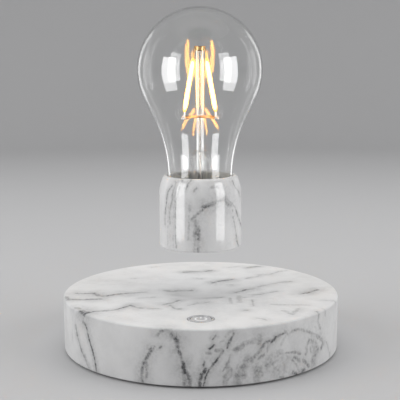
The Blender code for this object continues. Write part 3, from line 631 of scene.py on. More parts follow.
# Veins of the marble: width in mm, darkness, and a route in pixels of the 400 pixel picture
base_top_veins = [
    (1.7, 0.6, (77, 293.3), (83.1, 293.7), (94.6, 293.3)),
    (1.9, 0.75, (94.6, 293.3), (99.9, 296.2), (106.9, 295.9), (114.8, 294.4), (127.1, 293.5)),
    (1.6, 0.45, (127.1, 293.4), (146.5, 292)),
    (1.6, 0.7, (70.8, 299.5), (77.8, 299.9), (87.5, 299.5), (99.9, 299)),
    (2.0, 0.5, (66.5, 297), (68.5, 300)),
    (1.6, 0.8, (76.5, 307.8), (79.6, 308.7)),
    (2.2, 0.85, (81.4, 310.5), (84, 314.6), (88.4, 312.2)),
    (1.1, 0.75, (88.4, 312.4), (95, 311.3), (109.5, 310.6),
        (116.6, 309.6), (125.4, 306.9), (131.5, 305.2)),
    (1.4, 0.6, (131.5, 305.6), (135.1, 307.6), (142.1, 308.3)),
    (0.8, 0.5, (147.4, 308.9), (158, 308.9)),
    (1.1, 0.6, (164.1, 290.2), (172, 290.2), (179.1, 288.9), (192.3, 287.4)),
    (1.0, 0.35, (172, 294.2), (180, 293.7)),
    (1.2, 0.6, (179.1, 300.3), (172, 303), (165, 304.3)),
    (1.0, 0.6, (170.3, 305.2), (174.7, 308.7), (180.8, 309)),
    (1.0, 0.3, (138.6, 298.1), (155.3, 297.3)),
    (1.0, 0.4, (188.8, 305.6), (197.6, 303.4)),
    (0.8, 0.35, (151.8, 267.3), (159.7, 266.4)),
    (0.8, 0.3, (131.5, 278.6), (136.8, 278.6)),
    (1.3, 0.8, (184.4, 272.3), (195, 271.6), (202.3, 271.6), (211.4, 270.5)),
    (0.8, 0.6, (196.8, 278.5), (201.8, 278.7)),
    (1.4, 0.8, (213.2, 282.4), (219.6, 281.3), (225.1, 280.5), (232.4, 279.6)),
    (0.9, 0.65, (246.1, 278.3), (251.5, 277.3), (257.9, 276.7)),
    (0.9, 0.4, (258.8, 275.1), (270.7, 274.2), (278.9, 271.4), (286.2, 270.5)),
    (0.9, 0.8, (247.9, 267.6), (253.4, 266.9), (260.7, 266.3)),
    (0.9, 0.35, (226.9, 267.8), (239.7, 266.1)),
    (0.9, 0.5, (230, 284.6), (233, 284.9)),
    (1.5, 0.75, (236, 291.8), (241.5, 291.3), (246.1, 289.5), (254.3, 288.6)),
    (1.0, 0.5, (258.8, 286.7), (269.8, 284.2), (280.7, 282.4), (291.7, 281.4)),
    (1.0, 0.5, (253.4, 294.9), (260.7, 294.4), (268.9, 292.6), (277.1, 291.5)),
    (1.0, 0.45, (243.3, 297.4), (253.4, 296.5)),
    (0.8, 0.5, (252, 299.7), (253.4, 306)),
    (1.4, 0.75, (300.3, 294.2), (308.1, 292.8), (313.6, 291), (318.1, 289.7)),
    (1.2, 0.6, (204.1, 296.5), (221.4, 296.5)),
    (1.0, 0.5, (196.8, 302.9), (204.1, 302.9), (208.7, 302)),
    (1.3, 0.5, (229.7, 297.9), (231, 303.3)),
    (2.2, 0.35, (239.7, 296), (238.8, 302.4)),
    (0.9, 0.5, (244.2, 310.2), (247, 310.2)),
    (1.6, 0.3, (270.7, 304.2), (286.2, 304.7), (308.1, 305.2)),
    (1.8, 0.4, (283.5, 310.6), (291.7, 314.3), (298.1, 308.8)),
    (0.8, 0.4, (257, 318.1), (262.5, 318.4), (268, 320.2)),
    (0.8, 0.35, (324.5, 300.6), (335.5, 302.4)),
]
base_side_veins = [
    (0.8, 0.4, (83, 317), (83.8, 322.6)),
    (1.1, 0.9, (83, 321.9), (86.2, 326), (88, 334.5), (90.8, 344.3), (94.3, 358.4), (96.4, 371.7)),
    (2.0, 0.25, (87, 336), (90, 350)),
    (1.0, 0.65, (75.3, 324.7), (77.1, 334.5), (80.2, 346.4),
        (83, 354.1), (85.9, 361.2), (88.7, 368.2)),
    (2.4, 0.4, (83, 352), (86.6, 362), (90, 370)),
    (3.2, 0.2, (85.5, 322), (90, 343), (94.5, 370)),
    (0.8, 0.2, (72.5, 316.2), (72.5, 340)),
    (1.1, 0.6, (169, 328.9), (163, 330.3), (159.5, 332.4), (156.4, 335.5)),
    (1.0, 0.6, (160.9, 346.4), (159.8, 347.1)),
    (0.8, 0.5, (154.6, 347.1), (152.5, 352)),
    (1.5, 0.75, (151.1, 349.9), (148, 356.2), (143.4, 363.3), (142, 370.3), (142.4, 380.8)),
    (1.6, 0.55, (146.2, 362), (146.9, 377)),
    (3.0, 0.25, (145.5, 356), (144.5, 381)),
    (1.9, 0.65, (169.7, 330), (172.6, 336.4)),
    (0.8, 0.45, (176.7, 333.7), (176.7, 335.7)),
    (1.8, 0.9, (176, 338.5), (177.6, 346.4)),
    (1.3, 0.75, (177.9, 346.4), (180.6, 355.2), (183.2, 362.3)),
    (1.7, 0.95, (183.2, 362.3), (183.8, 367), (185.2, 372.8)),
    (2.2, 0.7, (185.2, 370.5), (188.5, 377), (189.6, 385)),
    (1.9, 0.6, (183.2, 372.8), (185, 383.4)),
    (3.4, 0.28, (179, 350), (184, 366), (187, 384)),
    (0.65, 0.9, (215.5, 335.6), (212.2, 338.8)),
    (0.75, 0.9, (214.3, 345.2), (212, 347.6), (209, 349.9)),
    (1.2, 0.5, (206, 353.5), (210.8, 354)),
    (1.3, 0.7, (216, 351.1), (222.5, 350.5), (219.6, 356.4)),
    (0.9, 0.9, (219.6, 356.4), (216, 361.1), (210.8, 366.4),
        (207.3, 372.2), (205.5, 376.3), (203.7, 385)),
    (1.1, 0.8, (203.7, 362.3), (202.9, 365.8)),
    (1.6, 0.9, (204.9, 369.9), (201.4, 374), (200.2, 378.7), (199.6, 385)),
    (2.4, 0.3, (199.3, 374.6), (198.5, 384)),
    (0.95, 0.9, (233.7, 334.1), (231.3, 339.4), (228.4, 343.5), (227.5, 347.6)),
    (1.4, 0.4, (229.6, 332.3), (226.6, 335.8)),
    (0.8, 0.35, (224.3, 340.5), (219.6, 342.9)),
    (1.8, 0.52, (235.4, 349.3), (240.7, 347), (244.8, 343.5), (250.1, 342.9), (254.8, 340.5)),
    (0.9, 0.7, (230.7, 355.2), (229, 361.1), (225.7, 365.8), (222.8, 370.5)),
    (2.4, 0.45, (226.5, 365.5), (229.5, 371), (225, 377), (224.7, 383)),
    (1.1, 0.45, (231.9, 368.7), (232.5, 372.8), (230.1, 377.5), (223.7, 382.2)),
    (2.8, 0.52, (251.3, 359.9), (246, 361.1), (244.2, 366.4), (241.9, 368.7)),
    (2.8, 0.52, (244.2, 374.6), (236.6, 375.8), (238.9, 382.8)),
    (1.6, 0.3, (238.4, 365.8), (234.2, 371.6)),
    (4.2, 0.38, (249.7, 359.2), (245.5, 365), (238.8, 375), (236.3, 384)),
    (2.4, 0.5, (259.4, 337.6), (259.4, 343.5)),
    (1.4, 0.65, (264.4, 343.5), (260.5, 350.5), (255, 356.4)),
    (1.0, 0.7, (266.7, 342), (270.8, 340.2), (272.6, 341.1)),
    (1.1, 1.0, (272, 341.7), (276.1, 336.6)),
    (1.0, 0.75, (277, 336.4), (281.4, 333.8), (286, 331.2), (287.3, 333.8)),
    (1.1, 0.5, (287.3, 334.1), (293.7, 330.9), (299.6, 329.4),
        (303.7, 330.9), (308.4, 332), (314.8, 334.1)),
    (1.1, 0.4, (286, 334.7), (283.7, 338.2), (281.7, 343.5)),
    (1.3, 0.35, (268.5, 342.9), (267.6, 350.5)),
    (1.5, 0.75, (316.2, 335.8), (321.9, 340.5), (322.8, 343.5), (320.7, 348.8)),
    (0.9, 0.5, (311, 338.8), (314.2, 342.9)),
    (1.3, 0.48, (309, 340), (306, 347.6), (307.2, 350.5), (305.4, 354.6)),
    (0.9, 0.5, (310.1, 347.6), (311.3, 352.9)),
    (1.6, 0.6, (317.8, 349.3), (316, 355.2), (312.5, 357.6), (313.7, 363.4)),
    (4.6, 0.45, (313.5, 339), (316, 350), (313.5, 361)),
    (0.7, 0.45, (326, 341.7), (328.9, 350.5), (330.1, 357.6)),
    (1.4, 0.45, (316.3, 311.5), (318.1, 322.5), (319.9, 328)),
    (1.2, 0.3, (322.7, 308.8), (325.4, 315.2)),
    (0.9, 0.4, (314.8, 326.5), (316, 328.8)),
    (0.9, 0.55, (280.2, 353.7), (286, 352.6), (294.9, 352.3), (300.7, 354)),
    (3.0, 0.25, (282, 358), (291, 358)),
    (4.8, 0.42, (268, 366), (273, 359), (280, 357), (285, 361), (281, 368), (275, 370)),
    (4.2, 0.3, (291, 360), (297, 364), (300, 370)),
    (1.5, 0.6, (294.9, 357.6), (299.6, 361.1)),
    (1.3, 0.62, (303.1, 360.5), (306, 362.8), (309, 366.4)),
    (1.2, 0.6, (292.5, 360.5), (295.5, 363.4), (299, 368.7)),
    (1.4, 0.9, (293.1, 371.6), (296.6, 373.4)),
    (1.6, 0.7, (299.6, 372.2), (304.3, 369.9)),
    (1.2, 0.5, (273.2, 357), (270.2, 360.5), (268.5, 364), (265.5, 366.4)),
    (1.3, 0.6, (276.7, 360.5), (272, 364), (274.3, 368.1), (279, 371.1)),
    (2.0, 0.45, (278.5, 367), (281.4, 364.6), (286, 361.1)),
    (1.5, 0.3, (282.6, 371.6), (286, 371)),
    (0.9, 0.45, (279, 377), (283.1, 376.3)),
    (3.6, 0.5, (256.2, 369.3), (259.1, 372.8), (256.7, 378.1)),
    (1.5, 0.45, (261.4, 368.7), (262, 374.6)),
    (1.2, 0.6, (263.8, 355.2), (258.5, 358.7)),
]
cap_veins = [
    (0.55, 0.6, (171.1, 186.4), (168, 191.8), (166.5, 198.5), (165.8, 206.4), (165.3, 213.6)),
    (0.9, 0.35, (174.7, 183.6), (173.2, 190), (172.6, 197.3),
        (171.7, 203.9), (170.2, 208.8), (169.8, 224.5)),
    (0.7, 0.32, (179.8, 183.3), (178, 193), (175.9, 201.5),
        (175.3, 212.4), (175.6, 230.6), (176.2, 248.2)),
    (0.6, 0.4, (173, 181.8), (173.6, 182.4)),
    (0.7, 0.5, (180.6, 181.8), (181.4, 182.2)),
    (0.5, 0.6, (189.8, 180.6), (186.5, 185.2), (185.3, 189.4)),
    (0.7, 0.35, (196.2, 188.2), (193.8, 191.8)),
    (1.3, 0.45, (191.4, 220.3), (193.8, 216.7), (197.4, 213.6), (202.9, 210)),
    (1.6, 0.55, (203.5, 207), (208.9, 205.8), (213.2, 203.9), (216.8, 202.1)),
    (0.7, 0.6, (202.9, 210), (203.5, 207)),
    (1.3, 0.4, (216.8, 202.1), (220.5, 199.8), (224.7, 198.2)),
    (2.2, 0.45, (224.7, 198.2), (228.3, 202.7), (230.8, 204.5)),
    (0.7, 0.5, (227.1, 199.1), (231.4, 202.7), (235, 207),
        (236.8, 212.4), (239.2, 220.3), (241.1, 227)),
    (0.6, 0.5, (232.9, 210), (233, 211.4)),
    (0.9, 0.4, (233.2, 217.3), (235, 227.6), (236.8, 239.7), (238.6, 247)),
    (0.9, 0.45, (235, 181.5), (236.2, 188.2), (238.6, 191.8), (239.8, 196.7)),
    (1.4, 0.25, (211.4, 187.6), (219.2, 187)),
    (1.1, 0.35, (188.9, 205.2), (189.5, 210.6)),
    (1.9, 0.45, (195, 221.5), (196.8, 228.2), (195, 235.5)),
    (1.3, 0.5, (198.6, 227.6), (198.3, 236.7), (197.7, 251.2)),
    (1.3, 0.35, (194.7, 236.7), (194.4, 251.2)),
    (0.9, 0.25, (188.6, 215.5), (188.3, 239.7)),
    (0.7, 0.35, (165, 216.7), (165.3, 224.5)),
    (0.9, 0.22, (177.4, 186), (174.6, 198), (173.4, 215), (173.2, 247)),
    (0.9, 0.2, (168.6, 204), (167.9, 222), (167.7, 246)),
    (2.6, 0.16, (176, 188), (171, 205), (170, 246)),
]
picture_width = 400.0
picture_middle = picture_width / 2


def sight(across, down):
    """The camera's place, and the direction in which it sees a pixel."""
    focal = picture_width * camera_lens / sensor_width
    dx, dy = across - picture_middle, down - picture_middle
    right = (dx * math.cos(camera_roll) - dy * math.sin(camera_roll)) / focal
    low = (dx * math.sin(camera_roll) + dy * math.cos(camera_roll)) / focal
    ahead = Vector((0, math.cos(camera_pitch), -math.sin(camera_pitch)))
    upward = Vector((0, math.sin(camera_pitch), math.cos(camera_pitch)))
    direction = ahead + Vector((right, 0, 0)) - upward * low
    return Vector((camera_side, -camera_distance, camera_height)), direction


def on_wall(across, down, radius):
    """Where a pixel meets the near side of an upright round wall about the axis."""
    eye, direction = sight(across, down)
    a = direction.x**2 + direction.y**2
    b = eye.x * direction.x + eye.y * direction.y
    c = eye.x**2 + eye.y**2 - radius**2
    share = (-b - math.sqrt(max(b * b - a * c, 0))) / a
    return eye + direction * share


def on_base(pixel):
    """A pixel's place on the base, with the wall folded out flat round the top."""
    eye, direction = sight(*pixel)
    top = eye + direction * (base_top - eye.z) / direction.z
    if math.hypot(top.x, top.y) < base_radius:
        return top.x, top.y
    wall = on_wall(*pixel, base_radius)
    out = (base_radius + base_top - wall.z) / base_radius
    return wall.x * out, wall.y * out


def on_cap(pixel):
    """A pixel's place on the cap, with the wall unrolled: along the wall, and height."""
    wall = on_wall(*pixel, cap_radius)
    return cap_radius * math.atan2(wall.x, -wall.y), wall.z


def routes_on(surface, veins, strength=1.0):
    """Veins as routes in metres on a surface, darker by a strength."""
    return [
        (width * vein_widening * mm, darkness * strength, [surface(pixel) for pixel in pixels])
        for width, darkness, *pixels in veins
    ]


def marble(name, unfold, veins, rear, gloss, shine, light, dark):
    """White stone look: routes of veins with soft sides, clouds, and finer veins all over."""
    look = Look(name)
    flat = unfold(look)
    half = (0.5, 0.5, 0.5)
    broad = look.vector("SUBTRACT", look.noise(broad_size, colour=True), half)
    fine = look.vector("SUBTRACT", look.noise(fine_size, 4.0, 0.65, colour=True), half)
    sway = look.vector("ADD", look.scaled(broad, broad_sway), look.scaled(fine, fine_sway))
    x, y, _ = look.parts(look.vector("ADD", flat, sway))
    marks = stains(look, look.join(x, y, 0.0), veins)
    grain = look.spread(look.noise(grain_size, 4.0, 0.7), 0.36, 0.64, 0.62, 1.25)
    swell = look.spread(look.noise(swell_size, 3.0), 0.35, 0.60, 0.65, 1.1)
    marks = look.times(marks, look.times(grain, swell))

    moved = look.vector("ADD", look.place, look.scaled(broad, wild_sway))
    bands = look.lines(band_size, 0.58, moved)
    threads = look.lines(thread_size, 0.6, moved)
    patches = look.spread(look.noise(patch_size), 0.42, 0.60)
    far = rear(look)
    wide = look.times(look.spread(bands, 0.0, 0.06, 0.45, 0.0), far)
    bold = look.times(look.spread(bands, 0.0, 0.022, 1.0, 0.0), look.spread(far, 0, 1, 0.05, 0.8))
    hairs = look.times(look.spread(threads, 0.0, 0.02, 1.0, 0.0), look.spread(far, 0, 1, 0.08, 0.5))
    wild = look.math("MAXIMUM", look.math("MAXIMUM", wide, bold), hairs)
    wild = look.times(look.times(wild, patches), grain)

    amount = look.math("MAXIMUM", marks, wild)
    clouds = look.spread(look.noise(cloud_size, 4.0, 0.6), 0.35, 0.7)
    stone = look.mix(amount, look.mix(clouds, light, dark), grey(0.10, 0.005))
    dull = look.noise(swell_size, 3.0)
    look.set(
        Base_Color=stone,
        Roughness=look.spread(dull, 0.3, 0.7, 0.75 * gloss, 1.25 * gloss, smooth=False),
        IOR=glass_index,
        Specular_IOR_Level=shine,
    )
    look.bump(look.noise(wave_size, 3.0), wave_depth, 0.4)
    return look.material


def unfold_base(look):
    """The place on the base, with the wall folded out flat round the top."""
    x, y, z = look.parts(look.place)
    radius = look.math("SQRT", look.math("ADD", look.times(x, x), look.times(y, y)))
    outside = look.math("GREATER_THAN", radius, base_radius - 2 * base_top_edge)
    drop = look.times(outside, look.math("SUBTRACT", base_top, z))
    out = look.math("DIVIDE", look.math("ADD", radius, drop), look.math("MAXIMUM", radius, mm))
    return look.join(look.times(x, out), look.times(y, out), 0.0)


def unroll_cap(look):
    """The place on the cap: along the wall from the front, and height."""
    x, y, z = look.parts(look.place)
    angle = look.math("ARCTAN2", x, look.times(y, -1.0))
    return look.join(look.times(angle, cap_radius), z, 0.0)


def behind_base(look):
    """From 0 on the top and the front wall to 1 on the back wall."""
    _, y, z = look.parts(look.place)
    back = look.spread(y, base_rear_start, base_rear_end)
    return look.times(back, look.spread(z, base_top, base_top - base_rear_drop))


def behind_cap(look):
    """From 0 on the front of the cap to 1 on its back."""
    return look.spread(look.parts(look.place)[1], cap_rear_start, cap_rear_end)


def clear_glass(name, tint, presence=1.0):
    """Thin blown glass that lamps shine through, with the slight waves of its making."""
    look = Look(name)
    look.set(
        Base_Color=look.mix(look.noise(glass_smear_size, 3.0), tint, grey(0.99)),
        Roughness=0.0,
        IOR=glass_index,
        Transmission_Weight=1.0,
        Alpha=presence,
    )
    look.bump(look.noise(glass_wave_size, 1.0), glass_wave_depth, 0.3)
    passing = look.add("ShaderNodeBsdfTransparent", grey(glass_shadow)).outputs[0]
    shadow = look.add("ShaderNodeLightPath").outputs["Is Shadow Ray"]
    both = look.add("ShaderNodeMixShader", shadow, look.shader.outputs[0], passing)
    look.feed(look.output.inputs["Surface"], both.outputs[0])
    return look.material


def glowing_coat(name):
    """The amber silicone round a filament: see-through and lit from within."""
    look = Look(name)
    grain = look.noise(coat_grain_size)
    amber = look.mix(grain, (1.0, 0.46, 0.07), (1.0, 0.56, 0.12))
    look.set(
        Base_Color=amber,
        Roughness=0.35,
        Alpha=coat_presence,
        Emission_Color=amber,
        Emission_Strength=coat_glow,
    )
    return look.material


def glowing_core(name):
    """The row of lit chips inside a filament, a little brighter at each chip."""
    look = Look(name)
    height = look.parts(look.place)[2]
    chips = look.math("ABSOLUTE", look.math("SINE", look.times(height, math.pi / chip_pitch)))
    lit = look.mix(chips, (1.0, 0.60, 0.10), (1.0, 0.66, 0.14))
    look.set(Base_Color=lit, Roughness=0.5, Emission_Color=lit, Emission_Strength=core_glow)
    return look.material


def board_look(name):
    """Green solder mask over faint tracks."""
    look = Look(name)
    tracks = look.add("ShaderNodeTexVoronoi")
    tracks.distance = "MANHATTAN"
    look.feed(tracks.inputs["Vector"], look.place)
    tracks.inputs["Scale"].default_value = 1 / track_size
    lines = look.spread(tracks.outputs["Distance"], 0.42, 0.5)
    mask = look.mix(look.noise(mask_size), (0.02, 0.16, 0.07), (0.03, 0.22, 0.10))
    look.set(Base_Color=look.mix(lines, mask, (0.06, 0.30, 0.15)), Roughness=0.42)
    look.bump(lines, track_depth, 0.6)
    return look.material


marble_base = marble(
    "marble_base_look",
    unfold_base,
    routes_on(on_base, base_top_veins + base_side_veins),
    behind_base,
    gloss=0.5,
    shine=0.05,
    light=grey(0.73),
    dark=grey(0.66),
)
marble_cap = marble(
    "marble_cap_look",
    unroll_cap,
    routes_on(on_cap, cap_veins, cap_vein_strength),
    behind_cap,
    gloss=0.06,
    shine=0.5,
    light=grey(0.82),
    dark=grey(0.76),
)
looks = {
    "marble": marble_cap,
    "plate": plain_look("plate_look", grey(0.70, 0.02), grey(0.60, 0.02), 0.45),
    "foot_rubber": plain_look("rubber_look", grey(0.035), grey(0.02), 0.85, size=1.5 * mm),
    "screw_steel": metal_look("steel_look", grey(0.62, 0.02), grey(0.45, 0.02), 0.32, 1.2 * mm),
    "key_ring": plain_look("key_ring_look", grey(0.54, 0.01), grey(0.46, 0.01), 0.3, 0.2, 1.5 * mm),
    "key": plain_look("key_look", grey(0.52, 0.01), grey(0.44, 0.01), 0.35, size=2 * mm),
    "copper": wound_look("copper_look", (0.78, 0.38, 0.18), (0.3, 0.12, 0.05), 0.3, 0.9, 0.45 * mm),
    "circuit_board": board_look("circuit_board_look"),
    "black_plastic": plain_look("black_plastic_look", grey(0.035, 0.003), grey(0.02, 0.002), 0.45),
    "ferrite": plain_look("ferrite_look", grey(0.12, 0.01), grey(0.07, 0.005), 0.6, size=2 * mm),
    "aluminium": metal_look("aluminium_look", grey(0.80, 0.02), grey(0.66, 0.02), 0.3, 1.5 * mm),
    "magnet_nickel": metal_look("nickel_look", (0.76, 0.75, 0.76), (0.62, 0.61, 0.62), 0.2),
    "cement": plain_look(
        "cement_look", (0.78, 0.75, 0.68), (0.60, 0.57, 0.50), 0.9, size=1.5 * mm, grain=0.08 * mm
    ),
    "clear_glass": clear_glass("envelope_glass_look", (0.96, 0.965, 0.96)),
    "support_wire": metal_look(
        "support_wire_look", (0.66, 0.44, 0.20), (0.48, 0.30, 0.13), 0.3, 0.8 * mm
    ),
    "filament_phosphor": glowing_coat("filament_coat_look"),
}
core_look = glowing_core("filament_core_look")
symbol_look = plain_look("symbol_look", grey(0.90), grey(0.84), 0.35, size=1 * mm)
weld_look = metal_look("weld_look", (0.82, 0.80, 0.77), (0.66, 0.63, 0.60), 0.3, 0.8 * mm)
lead_look = metal_look("lead_wire_look", (0.34, 0.31, 0.28), (0.24, 0.21, 0.19), 0.35, 0.8 * mm)
stem_glass = clear_glass("stem_glass_look", grey(0.97, -0.005))
flare_glass = clear_glass("flare_glass_look", grey(0.97, -0.005), flare_presence)


def dish_line(level, steps):
    """The dish's cosine curve, from the axis out to its rim, under a flat at a level."""
    points = []
    for step in range(steps + 1):
        drop = dish_depth * (1 + math.cos(math.pi * step / steps)) / 2
        points.append((dish_radius * step / steps, level - drop))
    return points


def make_base():
    """The turned housing, with its key recess, inlet hole and the bosses inside."""
    edge, heel = base_top_edge, base_bottom_edge
    inner = base_radius - base_wall
    ceiling = base_top - base_wall
    outline = dish_line(base_top, curve_steps)
    outline += arc((base_radius - edge, base_top - edge), edge, quarter_turn, 0, edge_steps)
    outline += arc((base_radius - heel, base_bottom + heel), heel, 0, -quarter_turn, edge_steps)
    outline += [(inner, base_bottom), (inner, ceiling)]
    outline += reversed(dish_line(ceiling, curve_steps))
    shape = turned(outline, base_sides)
    shell = piece("base_housing", [shape], marble_base, "base", ["base_shell"])
    lying = Quaternion((1, 0, 0), quarter_turn)
    recess = cylinder(
        key_ring_radius + seat_gap,
        base_top - key_recess_depth,
        base_top + cut_overrun,
        key_sides,
        (0, -key_distance, 0),
    )
    reach = base_wall / 2 + 2 * cut_overrun
    spot = (0, inner + base_wall / 2, inlet_level)
    hole = cylinder(inlet_hole_radius, -reach, reach, small_sides, spot, lying)
    cut(shell, [recess, hole])
    bosses = []
    high = ceiling + base_wall / 2
    bored = boss_bottom + boss_bore_depth
    post = [
        (0, high), (boss_radius, high), (boss_radius, boss_bottom),
        (boss_bore_radius, boss_bottom), (boss_bore_radius, bored), (0, bored),
    ]
    for number in range(boss_count):
        angle = eighth_turn + quarter_turn * number
        spot = (boss_circle * math.cos(angle), boss_circle * math.sin(angle), 0)
        bosses.append(turned(post, small_sides, spot))
    piece("base_bosses", bosses, marble_base, "base")


def make_key():
    """The trim ring, the key and the power sign let into it."""
    spot = (0, -key_distance, 0)
    floor = base_top - key_recess_depth + seat_gap
    inner = key_ring_radius - key_ring_width
    edge = key_ring_proud
    top = base_top + edge
    outline = arc((key_ring_radius - edge, top - edge), edge, quarter_turn, 0, ring_edge_steps)
    outline += [(key_ring_radius, floor), (inner, floor)]
    outline += arc((inner + edge, top - edge), edge, math.pi, quarter_turn, ring_edge_steps)
    ring = turned(outline, key_sides, spot, ring=True)
    piece("key_ring", [ring], looks["key_ring"], "base", ["touch_ring"])
    disc = inner - seat_gap
    face = base_top - key_sink
    outline = [(0, face)]
    outline += arc((disc - key_edge, face - key_edge), key_edge, quarter_turn, 0, key_edge_steps)
    outline += [(disc, floor), (0, floor)]
    key = turned(outline, key_sides, spot)
    piece("key_disc", [key], looks["key"], "base", ["touch_key"])

    low, high = face - symbol_height, face + symbol_height
    half = symbol_line / 2
    start, sweep = quarter_turn + symbol_opening, full_turn - 2 * symbol_opening
    points = []
    for step in range(curve_steps + 1):
        angle = start + sweep * step / curve_steps
        for away, level in ((-half, low), (half, low), (half, high), (-half, high)):
            radius = symbol_radius + away
            x, y = radius * math.cos(angle), radius * math.sin(angle)
            points.append((x, y - key_distance, level))
    sign = points, tube_faces(curve_steps + 1, sign_corners)
    bar = block(
        (-half, symbol_bar_low - key_distance, low),
        (half, symbol_bar_high - key_distance, high),
    )
    piece("power_sign", [sign, bar], symbol_look, "base")


def block(low, high):
    """Vertices and faces of a bar between two corners."""
    xs, ys, zs = zip(low, high)
    points = [(x, y, z) for x in xs for y in ys for z in zs]
    loops = [(0, 1, 3, 2), (4, 6, 7, 5), (0, 4, 5, 1), (2, 3, 7, 6), (0, 2, 6, 4), (1, 5, 7, 3)]
    return points, loops


def make_cap():
    """The cap with its rounded shoulder and lip."""
    drop, inset = cap_shoulder_drop, cap_shoulder_inset
    radius = (drop**2 + inset**2) / (2 * inset)
    level = cap_top - drop
    shoulder = arc((cap_radius - radius, level), radius, math.asin(drop / radius), 0, curve_steps)
    lip = cap_lip_edge
    outline = [(cap_lip_inner_radius, cap_top)]
    outline += arc((cap_rim_radius - lip, cap_top - lip), lip, quarter_turn, 0, lip_steps)
    outline += [point for point in shoulder if point[1] < cap_top - cap_lip_reach]
    heel = cap_bottom_edge
    outline += arc((cap_radius - heel, cap_underside + heel), heel, 0, -quarter_turn, edge_steps)
    outline += [
        (cap_inner_radius, cap_underside),
        (cap_inner_radius, level),
        (cap_lip_inner_radius, cap_top - cap_lip_height),
    ]
    shape = turned(outline, cap_sides, ring=True)
    piece("cap_housing", [shape], marble_cap, "bulb", ["cap_shell"])


def glass_side(inwards):
    """The envelope's outline from its top to the foot of its neck, moved inwards by a wall."""
    radius = globe_radius - inwards
    globe = arc((0, globe_centre), radius, quarter_turn, -cone_half_angle, 2 * curve_steps)
    blend = arc(
        (neck_radius + neck_blend_radius, neck_straight_top),
        neck_blend_radius + inwards,
        math.pi - cone_half_angle,
        math.pi,
        curve_steps,
    )
    return globe + blend + [(neck_radius - inwards, neck_bottom)]


def make_glass():
    """The blown envelope, and the stem with its flare and post."""
    shape = turned(glass_side(0) + glass_side(glass_wall)[::-1], glass_sides)
    piece("bulb_envelope", [shape], looks["clear_glass"], "bulb", ["glass_envelope"])

    inner = flare_tube_radius - flare_wall
    start = math.acos((post_radius + stem_gap) / flare_tube_radius)
    inner_start = math.acos((post_radius + stem_gap) / inner)
    centre = (0, flare_shoulder)
    skirt_top = neck_bottom + flare_skirt_height

    def skirt(tube, high, low):
        points = []
        for step in range(curve_steps + 1):
            angle = quarter_turn * step / curve_steps
            across = flare_rim_radius - (flare_rim_radius - tube) * math.cos(angle)
            points.append((across, high - (high - low) * math.sin(angle)))
        return points

    flare = arc(centre, flare_tube_radius, start, 0, curve_steps // 2)
    flare += skirt(flare_tube_radius, skirt_top, neck_bottom + flare_wall)
    flare += reversed(skirt(inner, skirt_top - flare_wall, neck_bottom))
    flare += arc(centre, inner, 0, inner_start, curve_steps // 2)
    shape = turned(flare, glass_sides, ring=True)
    piece("stem_flare", [shape], flare_glass, "bulb", ["glass_stem"])

    post = [(0, post_top)]
    edge = post_edge
    post += arc((post_radius - edge, post_top - edge), edge, quarter_turn, 0, post_edge_steps)
    post += [(post_radius, exhaust_bottom), (post_bore_radius, exhaust_bottom)]
    bore_top = post_top - post_bore_depth
    post += arc((0, bore_top), post_bore_radius, 0, quarter_turn, edge_steps)
    piece("stem_post", [turned(post, small_sides)], stem_glass, "bulb")


def filament_outline(share, shorter):
    """A filament's outline from its top down, at a share of its width and shorter at both ends."""
    shoulder = filament_radius * filament_shoulder_share
    low = -filament_length
    tip = filament_tip_length
    outline = [
        (filament_tip_radius, 0), (shoulder, -tip / 2), (filament_radius, -tip),
        (filament_radius, tip + low), (shoulder, tip / 2 + low), (filament_tip_radius, low),
    ]
    squeeze = (filament_length - 2 * shorter) / filament_length
    body = [(radius * share, height * squeeze - shorter) for radius, height in outline]
    return [(0, body[0][1])] + body + [(0, body[-1][1])]


def along_filament():
    """The direction from the top of the filament on +X to its foot."""
    return Vector((math.sin(filament_tilt), 0, -math.cos(filament_tilt)))


